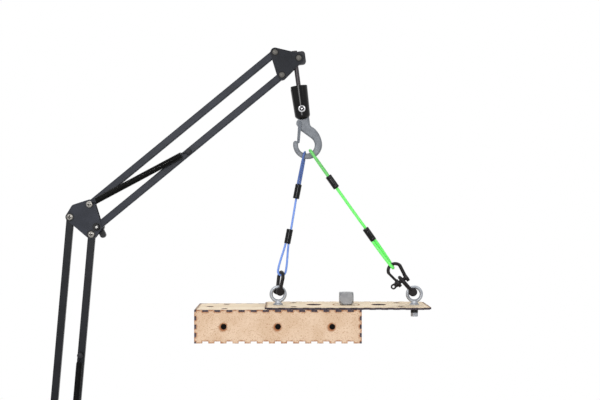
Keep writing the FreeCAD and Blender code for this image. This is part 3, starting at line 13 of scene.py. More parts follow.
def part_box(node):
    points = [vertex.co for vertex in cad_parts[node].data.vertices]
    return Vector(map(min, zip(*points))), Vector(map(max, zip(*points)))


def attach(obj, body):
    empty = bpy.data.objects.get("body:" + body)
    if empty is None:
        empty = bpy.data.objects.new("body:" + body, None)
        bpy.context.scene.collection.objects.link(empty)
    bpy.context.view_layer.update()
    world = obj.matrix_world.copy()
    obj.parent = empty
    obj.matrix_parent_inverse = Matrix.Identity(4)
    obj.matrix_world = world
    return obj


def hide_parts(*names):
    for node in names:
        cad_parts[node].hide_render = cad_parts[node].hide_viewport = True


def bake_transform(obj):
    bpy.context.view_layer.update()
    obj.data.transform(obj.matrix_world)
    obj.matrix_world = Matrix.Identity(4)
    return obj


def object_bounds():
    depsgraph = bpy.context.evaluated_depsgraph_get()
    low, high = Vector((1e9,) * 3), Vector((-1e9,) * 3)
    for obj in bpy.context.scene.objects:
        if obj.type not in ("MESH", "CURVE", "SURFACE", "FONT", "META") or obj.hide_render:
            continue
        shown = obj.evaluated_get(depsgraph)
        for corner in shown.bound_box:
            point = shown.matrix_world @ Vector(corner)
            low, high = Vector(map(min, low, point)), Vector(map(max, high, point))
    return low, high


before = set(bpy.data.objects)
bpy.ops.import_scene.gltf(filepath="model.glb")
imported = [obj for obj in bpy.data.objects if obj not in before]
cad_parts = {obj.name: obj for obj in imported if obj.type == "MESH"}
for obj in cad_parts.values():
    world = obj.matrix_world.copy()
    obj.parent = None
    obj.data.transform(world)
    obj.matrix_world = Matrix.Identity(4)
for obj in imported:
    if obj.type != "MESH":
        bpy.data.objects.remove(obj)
cad_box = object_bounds()

MM = 0.001

# Places on the arm, (x, z) in millimetres on the mid-plane
BASE_PIVOTS = [(-16.6, 108.7), (16.4, 82.0)]
BASE_STUD = (18.727, 108.598)
LOWER_ANCHOR = (32.262, 263.307)
ELBOW_PLAIN = [(15.473, 475.3), (48.473, 448.6)]
ELBOW_TOP = (46.373, 494.8)
ELBOW_KNOB = (56.973, 460.0)
ELBOW_HEADS = ELBOW_PLAIN + [ELBOW_TOP]
BASE_HEADS = BASE_PIVOTS + [BASE_STUD]
UPPER_ANCHOR = (197.611, 575.521)
HEAD_TOP = (330.739, 728.38)
HEAD_LOW = (341.339, 693.58)
ROD_PIVOT = (367.239, 719.68)
HOOK_BOW = (379.079, 586.083)
SHACKLE_BOWS = {"blue": (340.85, 390.279), "green": (509.655, 401.247)}
# How far the arm's plates reach forwards from the mid-plane
PLATE_OUTER = 6.5


def at(point, y=0.0):
    """A place (x, z) in millimetres, at a depth y, as a vector in metres."""
    return Vector((point[0], y, point[1])) * MM


def middle_of(node):
    """The middle (x, z) of a part's box, in millimetres."""
    low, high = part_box(node)
    return (low.x + high.x) / 2 / MM, (low.z + high.z) / 2 / MM


def linear(code):
    """An sRGB hex colour as linear RGBA."""
    channels = [int(code[i:i + 2], 16) / 255 for i in (1, 3, 5)]
    return (*[c / 12.92 if c <= 0.04045 else ((c + 0.055) / 1.055) ** 2.4 for c in channels], 1.0)


def add(tree, kind, inputs=(), **settings):
    """Adds a node with its settings; inputs maps each socket to a value or to the socket it comes from."""
    made = tree.nodes.new(kind)
    for name, value in settings.items():
        setattr(made, name, value)
    for socket, value in dict(inputs).items():
        if isinstance(value, bpy.types.NodeSocket):
            tree.links.new(value, made.inputs[socket])
        else:
            made.inputs[socket].default_value = value
    return made


# ---- Camera, floor and lights ----

PIXELS_WIDE = 600
FLOOR_MIDDLE = 0.3
FLOOR_SIDES = 96
FLOOR_GAP = 0.001
camera = bpy.data.objects.new("camera", bpy.data.cameras.new("camera"))
camera.location = (0.343, -1.506, 0.4907)
camera.rotation_euler = (math.radians(90), 0, 0)
camera.data.lens = 58.6
camera.data.sensor_width = 36.0
camera.data.shift_x = 17 / PIXELS_WIDE
camera.data.shift_y = 7 / PIXELS_WIDE
bpy.context.scene.collection.objects.link(camera)
bpy.context.scene.camera = camera
bpy.context.scene.view_settings.view_transform = "Standard"


def shows_backdrop(tree):
    """1 for rays that should meet the plain white backdrop: the camera's, mirrored ones and clear ones."""
    path = add(tree, "ShaderNodeLightPath").outputs
    mirrored = add(tree, "ShaderNodeMath", {0: path["Is Camera Ray"], 1: path["Is Glossy Ray"]},
                   operation="MAXIMUM").outputs[0]
    return add(tree, "ShaderNodeMath", {0: mirrored, 1: path["Is Transmission Ray"]},
               operation="MAXIMUM").outputs[0]


def make_world(light):
    """White to the eye and in mirrors, and softer as a light."""
    world = bpy.data.worlds.new("studio")
    world.use_nodes = True
    tree = world.node_tree
    tree.nodes.clear()
    soft = add(tree, "ShaderNodeBackground", {"Color": linear("#FFFFFF"), "Strength": light})
    white = add(tree, "ShaderNodeBackground", {"Color": linear("#FFFFFF"), "Strength": 1.0})
    both = add(tree, "ShaderNodeMixShader", {
        0: shows_backdrop(tree), 1: soft.outputs[0], 2: white.outputs[0],
    })
    add(tree, "ShaderNodeOutputWorld", {0: both.outputs[0]})
    bpy.context.scene.world = world


def area_light(name, place, target, width, height, watts):
    """An elliptical light at a place, turned to face its target, in metres."""
    lamp = bpy.data.lights.new(name, "AREA")
    lamp.shape = "ELLIPSE"
    lamp.size = width
    lamp.size_y = height
    lamp.energy = watts
    shown = bpy.data.objects.new(name, lamp)
    shown.location = place
    shown.rotation_euler = (Vector(target) - Vector(place)).to_track_quat("-Z", "Y").to_euler()
    bpy.context.scene.collection.objects.link(shown)


def make_floor(drop, radius):
    """Round matt white floor that keeps the shadow and runs out into the white backdrop at its rim."""
    material = bpy.data.materials.new("matt_white_floor")
    material.use_nodes = True
    tree = material.node_tree
    tree.nodes.clear()
    shade = add(tree, "ShaderNodeBsdfDiffuse", {"Color": linear("#FAFAFA")})
    glow = add(tree, "ShaderNodeEmission", {"Color": linear("#FFFFFF"), "Strength": 1.0})
    place = add(tree, "ShaderNodeTexCoord").outputs["Object"]
    far = add(tree, "ShaderNodeVectorMath", {0: place, 1: (FLOOR_MIDDLE, 0, drop)}, operation="DISTANCE")
    fade = add(tree, "ShaderNodeMapRange", {
        "Value": far.outputs["Value"], "From Min": 0.35 * radius, "From Max": 0.97 * radius, "To Min": 0.55,
    }).outputs[0]
    lift = add(tree, "ShaderNodeMath", {0: shows_backdrop(tree), 1: fade}, operation="MULTIPLY").outputs[0]
    both = add(tree, "ShaderNodeMixShader", {0: lift, 1: shade.outputs[0], 2: glow.outputs[0]})
    add(tree, "ShaderNodeOutputMaterial", {0: both.outputs[0]})
    mesh = bpy.data.meshes.new("floor")
    turns = [i * math.tau / FLOOR_SIDES for i in range(FLOOR_SIDES)]
    rim = [(radius * math.cos(turn) + FLOOR_MIDDLE, radius * math.sin(turn), drop) for turn in turns]
    mesh.from_pydata(rim, [], [list(range(FLOOR_SIDES))])
    mesh.materials.append(material)
    floor = bpy.data.objects.new("floor", mesh)
    bpy.context.scene.collection.objects.link(floor)


make_world(light=0.42)
make_floor(drop=cad_box[0].z - FLOOR_GAP, radius=1.1)
area_light("key", (-0.9, -1.7, 1.7), (0.25, 0, 0.45), width=1.1, height=1.1, watts=16)
area_light("fill", (1.7, -1.4, 1.5), (0.35, 0, 0.4), width=1.0, height=1.0, watts=8)
area_light("top", (0.2, 0.9, 2.0), (0.3, 0, 0.4), width=1.0, height=1.0, watts=12)
area_light("strip", (0.10, -1.75, 0.66), (0.38, 0, 0.64), width=0.42, height=0.9, watts=12)


# ---- Materials ----

def new_material(name, rough, metal=0.0, **sockets):
    """A material with its tree, its shader and the object coordinates in metres."""
    material = bpy.data.materials.new(name)
    material.use_nodes = True
    tree = material.node_tree
    shader = tree.nodes["Principled BSDF"]
    shader.inputs["Roughness"].default_value = rough
    shader.inputs["Metallic"].default_value = metal
    for socket, value in sockets.items():
        shader.inputs[socket.replace("_", " ")].default_value = value
    return material, tree, shader, add(tree, "ShaderNodeTexCoord").outputs["Object"]


def noise(tree, place, size, detail=3.0, stretch=(1, 1, 1)):
    """Noise whose features are about size millimetres across, and longer along a squeezed axis."""
    spread = add(tree, "ShaderNodeMapping", {"Vector": place, "Scale": stretch}).outputs[0]
    return add(tree, "ShaderNodeTexNoise",
               {"Vector": spread, "Scale": 1 / (size * MM), "Detail": detail}).outputs[0]


def blend_colours(tree, factor, low, high):
    """Low where the factor is 0 and high where it is 1; each is a hex colour or a socket."""
    ends = [linear(c) if isinstance(c, str) else c for c in (low, high)]
    return add(tree, "ShaderNodeMix", {0: factor, 6: ends[0], 7: ends[1]}, data_type="RGBA").outputs[2]


def ramp(tree, value, start, end, low=0.0, high=1.0):
    """The value taken from start..end to low..high, held at both ends."""
    return add(tree, "ShaderNodeMapRange",
               {"Value": value, "From Min": start, "From Max": end, "To Min": low, "To Max": high}).outputs[0]


def near_edges(tree, width, start=0.995, end=0.85):
    """1 on an edge of the piece, falling to 0 about width millimetres from it.

    It goes by the cosine between the rounded normal and the face's own, from start to end.
    """
    rounded = add(tree, "ShaderNodeBevel", {"Radius": width * MM}, samples=6).outputs[0]
    flat = add(tree, "ShaderNodeNewGeometry").outputs["Normal"]
    alike = add(tree, "ShaderNodeVectorMath", {0: rounded, 1: flat}, operation="DOT_PRODUCT")
    return ramp(tree, alike.outputs["Value"], start, end)


MOTTLE_GRAINS = 16


def finish(name, dark, light, rough, metal=0.0, grain=1.0, relief=0.0, spread=0.06,
           stretch=(1, 1, 1), edge_wear_and_highlight=None, edge_width=0.6, **sockets):
    """A surface mottled between two colours, with a relief and a roughness that vary with its grain.

    grain and relief are in millimetres, spread is how far the roughness strays to each side, and
    the edge colour, where one is given, covers the edges over the edge width in millimetres: the marks
    of rubbing on most finishes, and a painted highlight on the pivot screws' rims and the hook's edges.
    worn is the colour of edges rubbed over a width of wear millimetres.
    """
    material, tree, shader, place = new_material(name, rough, metal, **sockets)
    fine = noise(tree, place, grain, 4.0, stretch)
    broad = noise(tree, place, MOTTLE_GRAINS * grain)
    colour = blend_colours(tree, ramp(tree, broad, 0.35, 0.65), dark, light)
    if edge_wear_and_highlight:
        rim = near_edges(tree, edge_width)
        patchy = ramp(tree, fine, 0.4, 0.6, 0.35, 1.0)
        edge_mark = add(tree, "ShaderNodeMath", {0: rim, 1: patchy}, operation="MULTIPLY").outputs[0]
        colour = blend_colours(tree, edge_mark, colour, edge_wear_and_highlight)
    tree.links.new(colour, shader.inputs["Base Color"])
    tree.links.new(ramp(tree, fine, 0.3, 0.7, rough - spread, rough + spread), shader.inputs["Roughness"])
    if relief:
        bump = add(tree, "ShaderNodeBump", {"Height": fine, "Distance": relief * MM, "Strength": 1.0})
        tree.links.new(bump.outputs[0], shader.inputs["Normal"])
    return material


MARK_BLUR = 0.1


def marked(material, centres, mark, inner, outer, colour):
    """Colours a ring or a cross on each head that faces the front, at centres (x, z) in millimetres.

    A ring lies between inner and outer millimetres from the centre; a cross has arms outer long and
    twice inner wide. Each edge is soft for MARK_BLUR millimetres to both sides.
    """
    tree = material.node_tree
    shader = tree.nodes["Principled BSDF"]
    place = add(tree, "ShaderNodeTexCoord").outputs["Object"]
    base = shader.inputs["Base Color"].links[0].from_socket
    for centre in centres:
        off = add(tree, "ShaderNodeVectorMath", {0: place, 1: at(centre)}, operation="SUBTRACT").outputs[0]
        off = add(tree, "ShaderNodeVectorMath", {0: off, 1: (1, 0, 1)}, operation="MULTIPLY").outputs[0]
        far = add(tree, "ShaderNodeVectorMath", {0: off}, operation="LENGTH").outputs["Value"]
        near = far
        if mark == "cross":
            sides = add(tree, "ShaderNodeVectorMath", {0: off}, operation="ABSOLUTE").outputs[0]
            sides = add(tree, "ShaderNodeSeparateXYZ", {0: sides}).outputs
            near = add(tree, "ShaderNodeMath", {0: sides["X"], 1: sides["Z"]}, operation="MINIMUM").outputs[0]
        within = ramp(tree, far, (outer - MARK_BLUR) * MM, (outer + MARK_BLUR) * MM, 1.0, 0.0)
        edge = ramp(tree, near, (inner - MARK_BLUR) * MM, (inner + MARK_BLUR) * MM)
        if mark == "cross":
            edge = add(tree, "ShaderNodeMath", {0: 1.0, 1: edge}, operation="SUBTRACT").outputs[0]
        both = add(tree, "ShaderNodeMath", {0: within, 1: edge}, operation="MULTIPLY").outputs[0]
        base = blend_colours(tree, both, base, colour)
    tree.links.new(base, shader.inputs["Base Color"])
    return material


def ringed(material, centre_x, radius, width, colour):
    """Burns a thin circle round a bolt on the mid-line into a board's face, in millimetres."""
    tree = material.node_tree
    shader = tree.nodes["Principled BSDF"]
    place = add(tree, "ShaderNodeTexCoord").outputs["Object"]
    off = add(tree, "ShaderNodeVectorMath", {0: place, 1: (centre_x * MM, 0, 0)},
              operation="SUBTRACT").outputs[0]
    off = add(tree, "ShaderNodeVectorMath", {0: off, 1: (1, 1, 0)}, operation="MULTIPLY").outputs[0]
    far = add(tree, "ShaderNodeVectorMath", {0: off}, operation="LENGTH").outputs["Value"]
    away = add(tree, "ShaderNodeMath", {0: far, 1: radius * MM}, operation="SUBTRACT").outputs[0]
    away = add(tree, "ShaderNodeMath", {0: away}, operation="ABSOLUTE").outputs[0]
    line = ramp(tree, away, width * MM, 0.4 * width * MM)
    base = shader.inputs["Base Color"].links[0].from_socket
    tree.links.new(blend_colours(tree, line, base, colour), shader.inputs["Base Color"])
    return material


def burnt(tree, place, face, centres, inner, outer, amount, colour):
    """Browns a board's face from inner to outer millimetres round each centre (x, y, z)."""
    for centre in centres:
        far = add(tree, "ShaderNodeVectorMath", {0: place, 1: Vector(centre) * MM}, operation="DISTANCE")
        far = far.outputs["Value"]
        out = ramp(tree, far, inner * MM, outer * MM, amount, 0.0)
        face = blend_colours(tree, out, face, colour)
    return face


# Sizes of a board's patterns in millimetres, and the colours that all the boards share
FIBRE_WIDTH = 0.9
FIBRE_RELIEF = 0.10
CLOUD_WIDTH = 30.0
SPECK_WIDTH = 1.6
SMOKE_WIDTH = 5.0
SCORCH_WIDTH = 4.0
STRIPE_WIDTH = 0.8
STRIPE_SQUEEZE = 0.08
CHAR_DARK = "#2A242B"
CHAR_LIGHT = "#544A52"
# Painted shade for the faces inside the box
INNER_SHADE_DARK = "#0E0B0A"
INNER_SHADE_LIGHT = "#1A1513"


def laser_cut_board(name, across, middle, dark, light, streaks, halo, burns=()):
    """Sheet cut by a laser: its face, its charred cut edges and the brown halo that the beam leaves.

    across is the axis (0, 1 or 2) that the sheet is thin along, streaks stretches its fibres, and
    the face towards the middle of the box, if there is one, is darkened as painted shade. Each of
    the burns is what burnt takes after the face, but for the colour, which is the halo's.
    """
    material, tree, shader, place = new_material(name, 0.72, Specular_IOR_Level=0.25)
    fibres = noise(tree, place, FIBRE_WIDTH, 5.0, streaks)
    clouds = noise(tree, place, CLOUD_WIDTH, 2.0, streaks)
    specks = noise(tree, place, SPECK_WIDTH, 6.0, streaks)
    face = blend_colours(tree, ramp(tree, clouds, 0.40, 0.60, 0.0, 0.35), light, dark)
    face = blend_colours(tree, ramp(tree, fibres, 0.45, 0.70, 0.0, 0.45), face, dark)
    face = blend_colours(tree, ramp(tree, specks, 0.56, 0.68, 0.0, 0.6), face, halo)
    smoke = noise(tree, place, SMOKE_WIDTH, 2.0)
    patchy = ramp(tree, smoke, 0.38, 0.58, 0.35, 1.0)
    rim = near_edges(tree, SCORCH_WIDTH, 0.9997, 0.98)
    scorch = add(tree, "ShaderNodeMath", {0: rim, 1: patchy}, operation="MULTIPLY").outputs[0]
    face = blend_colours(tree, scorch, face, halo)
    for burn in burns:
        face = burnt(tree, place, face, colour=halo, **burn)
    through = [1.0, 1.0, 1.0]
    through[across] = STRIPE_SQUEEZE
    stripes = noise(tree, place, STRIPE_WIDTH, stretch=through)
    char = blend_colours(tree, ramp(tree, stripes, 0.38, 0.66), CHAR_DARK, CHAR_LIGHT)
    normal = add(tree, "ShaderNodeTexCoord").outputs["Normal"]
    axes = add(tree, "ShaderNodeSeparateXYZ", {0: normal}).outputs
    size = add(tree, "ShaderNodeMath", {0: axes[across]}, operation="ABSOLUTE").outputs[0]
    is_face = ramp(tree, size, 0.6, 0.7)
    # The face towards the box's middle is darkened as painted shade for the box's unlit inside
    if middle is not None:
        out = add(tree, "ShaderNodeSeparateXYZ", {0: place}).outputs[across]
        out = add(tree, "ShaderNodeMath", {0: out, 1: middle * MM}, operation="SUBTRACT").outputs[0]
        out = add(tree, "ShaderNodeMath", {0: out, 1: axes[across]}, operation="MULTIPLY").outputs[0]
        inner = add(tree, "ShaderNodeMath", {0: out, 1: 0.0}, operation="LESS_THAN").outputs[0]
        inner_shade = blend_colours(tree, ramp(tree, clouds, 0.35, 0.65), INNER_SHADE_DARK, INNER_SHADE_LIGHT)
        face = blend_colours(tree, inner, face, inner_shade)
    tree.links.new(blend_colours(tree, is_face, char, face), shader.inputs["Base Color"])
    rough = ramp(tree, fibres, 0.3, 0.7, 0.62, 0.82)
    tree.links.new(rough, shader.inputs["Roughness"])
    height = add(tree, "ShaderNodeMix", {0: is_face, 2: stripes, 3: fibres}, data_type="FLOAT").outputs[0]
    bump = add(tree, "ShaderNodeBump", {"Height": height, "Distance": FIBRE_RELIEF * MM, "Strength": 1.0})
    tree.links.new(bump.outputs[0], shader.inputs["Normal"])
    return material


SQUARE_BOLT = middle_of("square_head_bolt")
BOX_MIDDLE = middle_of("box_front")
BOX_FRONT_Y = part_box("box_front")[0].y / MM
LIGHT_HOLE_SPACING = 81.0
SMOKE_DRIFT_X = 1.6
SMOKE_DRIFT_Z = 1.4

# Polyester powder coat on the arm's steel tube: fine orange peel, satin, a cold black
arm_coat = finish("satin_black_powder_coat", "#1E2129", "#262932", 0.42, grain=0.9, relief=0.03,
                  edge_wear_and_highlight="#40434B", edge_width=0.5, Specular_IOR_Level=0.18)
# The same coat on the lower tubes, made darker as painted shade
shaded_lower_arm_coat = finish("shaded_black_powder_coat", "#0D0F13", "#14161B", 0.40, grain=0.9, relief=0.03,
                        edge_wear_and_highlight="#2C2E34", edge_width=0.5, Specular_IOR_Level=0.18)
# The same coat on the flat pressed plates, a little greyer and smoother
plate_coat = finish("grey_black_powder_coat", "#20232B", "#282B34", 0.42, grain=0.8, relief=0.03,
                    edge_wear_and_highlight="#4A4B53", edge_width=0.4, Specular_IOR_Level=0.18)
# The head's plates, with a ring of painted shade round each rivet
head_coat_shade_rings = marked(finish("grey_black_powder_coat_head", "#181A1F", "#1F2127", 0.42, grain=0.8, relief=0.03,
                          edge_wear_and_highlight="#3C3D42", edge_width=0.4, Specular_IOR_Level=0.12),
                   [HEAD_TOP, HEAD_LOW, ROD_PIVOT], "ring", inner=3.2, outer=5.5, colour="#070708")
# Sand-cast clamp under a heavier coat
clamp_coat = finish("textured_black_enamel", "#1B1C1F", "#222327", 0.52, grain=1.4, relief=0.12,
                    edge_wear_and_highlight="#3E3F43", edge_width=0.7, Specular_IOR_Level=0.3)
# Bright zinc plate on turned screws and nuts
zinc = finish("bright_zinc_plated_steel", "#A8A49E", "#C8C4BE", 0.32, metal=1.0, grain=0.5, relief=0.01,
              spread=0.08)
# The same plate on the cross-head pivot screws, with painted shade in their cross recesses and a painted
# highlight on their rims
pivot_zinc = marked(finish("cross_head_zinc_screw", "#8C8984", "#A5A29C", 0.34, metal=1.0, grain=0.5,
                           relief=0.02, edge_wear_and_highlight="#E8E6E2", edge_width=0.5, spread=0.08),
                    ELBOW_HEADS + BASE_HEADS, "cross", inner=0.75, outer=3.1, colour="#1E1C1A")
# Blackened clamp bolt of the wing knob, bright where its point was turned
knob_bolt_black = marked(finish("blackened_bolt_steel", "#0C0C0D", "#151517", 0.30, metal=0.3, grain=0.5,
                                relief=0.01, Specular_IOR_Level=0.3),
                         [ELBOW_KNOB], "ring", inner=-1.0, outer=1.7, colour="#D9D8D5")
# Bright plate over the clamp screw's rolled thread, 10 mm across with a 1.5 mm pitch
threaded_zinc = finish("zinc_plated_thread", "#A8A49E", "#C8C4BE", 0.34, metal=1.0, grain=0.5,
                       edge_wear_and_highlight="#D6D3CE", edge_width=0.3)
# Rivets that were set and left dull under thin lacquer
dull_steel = finish("dull_rivet_steel", "#52504E", "#62605A", 0.55, metal=0.6, grain=0.5, relief=0.02,
                    edge_wear_and_highlight="#8E8B87", edge_width=0.5)
# Injection-moulded nylon for knobs: soft sheen, faint mould texture
black_nylon = finish("moulded_black_nylon", "#0A0A0C", "#101114", 0.38, grain=0.7, relief=0.02,
                     Specular_IOR_Level=0.25)
# Oiled music wire, dark between its turns
spring_wire = finish("oiled_black_spring_wire", "#030303", "#070706", 0.42, grain=0.4, relief=0.004,
                     Specular_IOR_Level=0.12)
# Zinc die casting with a black wash, for the tilting barrel
barrel_black = finish("blackened_zinc_casting", "#1B1B1F", "#27272C", 0.48, grain=0.7, relief=0.02,
                      Specular_IOR_Level=0.25)
# Ground steel rod with fine turning marks round it
rod_steel = finish("ground_steel_rod", "#2A2729", "#383437", 0.36, metal=0.6, grain=0.5, relief=0.008,
                   stretch=(1, 1, 6))
# Polished aluminium dyed black: a clear sealed skin with sharp highlights
black_anodised = finish("black_anodised_aluminium", "#010102", "#030304", 0.16, grain=0.6, spread=0.02,
                        Specular_IOR_Level=0.2)
# Polished stainless steel button screw, its hexagon socket in shadow
button_steel = marked(finish("polished_stainless_steel", "#CFCFD2", "#E4E4E6", 0.18, metal=1.0, grain=0.5,
                             relief=0.003),
                      [middle_of("adapter_set_screw")], "ring", inner=1.2, outer=3.5, colour="#0C0C0E")
# Shot-blasted stainless casting, evenly grey, its rounded edges lightened as a painted highlight
blasted_steel = finish("shot_blasted_stainless_casting", "#676B71", "#7C8086", 0.55, metal=0.1, grain=0.6,
                       relief=0.003, edge_wear_and_highlight="#C4C8CC", edge_width=1.6)
# Stainless gate and its pin, duller than the hook
gate_steel = finish("cast_stainless_gate", "#474B51", "#54585E", 0.45, metal=0.6, grain=0.5, relief=0.01)
# Black oxide on drop-forged shackles: satin, a little brown on the rims
black_oxide = finish("black_oxide_forged_steel", "#121012", "#1B1719", 0.42, grain=0.9, relief=0.03,
                     edge_wear_and_highlight="#2E2826", edge_width=0.6, Specular_IOR_Level=0.2)
# Hot-dip zinc on the forged eye bolts: pale grey with a soft bloom
galvanised = finish("galvanised_forged_steel", "#94989F", "#ADB1B7", 0.46, metal=0.5, grain=0.8, relief=0.01)
# Plain black washer steel
black_steel = finish("blued_black_steel", "#0C0C0D", "#141416", 0.40, grain=0.6, relief=0.01,
                     Specular_IOR_Level=0.25)
# Milled and tumbled steel of the square bolt: soft edges rubbed bright
tumbled_steel = finish("tumbled_mild_steel", "#75767A", "#8D8E91", 0.50, metal=0.35, grain=0.9, relief=0.04,
                       edge_wear_and_highlight="#A4A5A8", edge_width=1.4)
# Poplar ply, sanded: pale with long faint grain
POPLAR = dict(dark="#DCC5A2", light="#F4E4CC", streaks=(0.06, 1, 1), halo="#9A6A3E")
ply_face = ringed(laser_cut_board("laser_cut_poplar_ply", across=2, middle=None, **POPLAR),
                  centre_x=SQUARE_BOLT[0], radius=20.0, width=1.6, colour="#A87848")
# The box's top, of the same ply, darkened inside as painted shade
ply_top = laser_cut_board("laser_cut_poplar_ply_top", across=2, middle=BOX_MIDDLE[1], **POPLAR)
# Medium-density fibreboard: short fibres, peach, browned where the beam's smoke drifted from a hole
FIBREBOARD = dict(dark="#BC9875", light="#DDC3A9", streaks=(1, 1, 1), halo="#96582A")
smoke_centres = [(BOX_MIDDLE[0] + step * LIGHT_HOLE_SPACING - SMOKE_DRIFT_X, BOX_FRONT_Y,
                  BOX_MIDDLE[1] - SMOKE_DRIFT_Z) for step in (-1, 0, 1)]
hole_smoke = dict(centres=smoke_centres, inner=4.2, outer=7.6, amount=0.8)
mdf_front = laser_cut_board("laser_cut_fibreboard_front", across=1, middle=0.0, **FIBREBOARD,
                            burns=[hole_smoke])
mdf_end = laser_cut_board("laser_cut_fibreboard_end", across=0, middle=BOX_MIDDLE[0], **FIBREBOARD)
# Polyolefin shrink sleeve over crimped copper
shrink_sleeve = finish("black_shrink_sleeve", "#040506", "#08090B", 0.16, grain=1.0, spread=0.02,
                       Specular_IOR_Level=0.2)


def coated_rope(name, groove, crest, rough):
    """Clear coloured vinyl drawn over laid wire: deeper colour in the grooves between the strands."""
    material, tree, shader, place = new_material(name, rough, IOR=1.5)
    relief = add(tree, "ShaderNodeAttribute", attribute_name="groove").outputs["Fac"]
    colour = blend_colours(tree, ramp(tree, relief, 0.0, 0.8), crest, groove)
    soiled = noise(tree, place, 9.0)
    colour = blend_colours(tree, ramp(tree, soiled, 0.45, 0.75, 0.0, 0.35), colour, groove)
    tree.links.new(colour, shader.inputs["Base Color"])
    return material


blue_vinyl = coated_rope("blue_vinyl_coated_wire", "#5A7FD2", "#7DA2EA", 0.34)
green_vinyl = coated_rope("green_vinyl_coated_wire", "#50F050", "#84FF80", 0.34)
# The same ropes over the hook, rubbed and dulled by the steel
blue_rubbed = coated_rope("rubbed_blue_vinyl", "#34508E", "#4E6CAE", 0.42)
green_rubbed = coated_rope("rubbed_green_vinyl", "#56B955", "#7FDC7B", 0.42)

NODE_FINISHES = {
    arm_coat: ["upper_bar_top", "upper_bar_low"],
    shaded_lower_arm_coat: ["lower_bar_left", "lower_bar_right"],
    plate_coat: ["base_plate_front", "base_plate_rear", "elbow_plate_front", "elbow_plate_rear"],
    head_coat_shade_rings: ["head_plate_front", "head_plate_rear"],
    clamp_coat: ["clamp_frame", "clamp_pad", "base_post"],
    threaded_zinc: ["clamp_screw"],
    zinc: ["clamp_tommy_bar", "base_rivets", "base_nuts", "elbow_nuts", "square_bolt_nut"],
    pivot_zinc: ["base_pivot_screws", "elbow_pivot_screws"],
    knob_bolt_black: ["elbow_knob_bolt"],
    dull_steel: ["head_rivets", "barrel_pivot_pin"],
    black_nylon: ["socket_thumbscrew", "elbow_wing_knob"],
    barrel_black: ["barrel_block", "upper_spring_anchor", "lower_spring_anchor"],
    rod_steel: ["hanger_rod"],
    black_anodised: ["hook_adapter"],
    button_steel: ["adapter_set_screw"],
    blasted_steel: ["hook_body"],
    gate_steel: ["hook_gate", "hook_gate_pin"],
    black_oxide: ["left_shackle", "left_shackle_pin", "right_upper_shackle", "right_lower_shackle",
                  "right_shackle_pins"],
    galvanised: ["left_eye_bolt", "right_eye_bolt", "eye_bolt_nuts"],
    black_steel: ["eye_bolt_washers", "ballast_bar"],
    tumbled_steel: ["square_head_bolt"],
    ply_face: ["top_plate"],
    ply_top: ["box_top"],
    mdf_front: ["box_front", "box_rear"],
    mdf_end: ["box_end_left", "box_end_right"],
}
for material, nodes in NODE_FINISHES.items():
    for node in nodes:
        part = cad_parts[node]
        if not part.material_slots:
            part.data.materials.append(material)
        for held in part.material_slots:
            held.material = material


# ---- Making pieces ----

def linked(name, mesh):
    """A new object that holds a mesh or a curve, in the scene."""
    made = bpy.data.objects.new(name, mesh)
    bpy.context.scene.collection.objects.link(made)
    return made


def from_bmesh(name, shape, material):
    """A smooth-shaded mesh from a bmesh, with its doubles merged and its normals outwards."""
    bmesh.ops.remove_doubles(shape, verts=shape.verts, dist=1e-7)
    bmesh.ops.recalc_face_normals(shape, faces=shape.faces)
    mesh = bpy.data.meshes.new(name)
    shape.to_mesh(mesh)
    shape.free()
    mesh.shade_smooth()
    mesh.materials.append(material)
    return mesh


def cad_shape(node):
    """A bmesh of a CAD node, in the frame's axes."""
    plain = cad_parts[node]
    shape = bmesh.new()
    shape.from_mesh(plain.data)
    shape.transform(plain.matrix_world)
    return shape


def skinned(shape, rings):
    """Adds the skin over a row of rings of a bmesh's vertices, closed by a face at both ends."""
    for near, far in zip(rings, rings[1:]):
        for i in range(len(near)):
            after = (i + 1) % len(near)
            shape.faces.new((near[i], near[after], far[after], far[i]))
    shape.faces.new(rings[0])
    shape.faces.new(rings[-1])


def sides_along(points):
    """Two vectors across the line at each of its points, turned as little as it lets them."""
    tangents = []
    for i in range(len(points)):
        ahead = points[min(i + 1, len(points) - 1)] - points[max(i - 1, 0)]
        tangents.append(ahead.normalized())
    side = tangents[0].orthogonal().normalized()
    pairs = []
    for tangent in tangents:
        side = (side - tangent * side.dot(tangent)).normalized()
        pairs.append((side, tangent.cross(side)))
    return pairs


def swept(shape, points, radius, sides):
    """Adds a closed round tube along the points to a bmesh."""
    turns = [math.tau * i / sides for i in range(sides)]
    rings = []
    for point, (side, other) in zip(points, sides_along(points)):
        ring = [point + radius * (side * math.cos(turn) + other * math.sin(turn)) for turn in turns]
        rings.append([shape.verts.new(place) for place in ring])
    skinned(shape, rings)


def socket_id(tree, name):
    """The identifier of a tree's input, which a modifier knows it by."""
    return next(item.identifier for item in tree.interface.items_tree if item.name == name)


def grown(tree, source, inputs, name):
    """The plain mesh that a geometry tree makes from a source object with the inputs given by name."""
    modifier = source.modifiers.new(tree.name, "NODES")
    modifier.node_group = tree
    for key, value in inputs.items():
        modifier[socket_id(tree, key)] = value
    source.update_tag()
    graph = bpy.context.evaluated_depsgraph_get()
    mesh = bpy.data.meshes.new_from_object(source.evaluated_get(graph), preserve_all_data_layers=True,
                                           depsgraph=graph)
    source.modifiers.remove(modifier)
    mesh.name = name
    return mesh


def new_tree(name, sockets):
    """An empty geometry tree with its geometry sockets and the named inputs given."""
    tree = bpy.data.node_groups.new(name, "GeometryNodeTree")
    tree.interface.new_socket("Geometry", in_out="INPUT", socket_type="NodeSocketGeometry")
    tree.interface.new_socket("Geometry", in_out="OUTPUT", socket_type="NodeSocketGeometry")
    for socket, kind in sockets.items():
        tree.interface.new_socket(socket, in_out="INPUT", socket_type="NodeSocket" + kind)
    return tree, add(tree, "NodeGroupInput").outputs


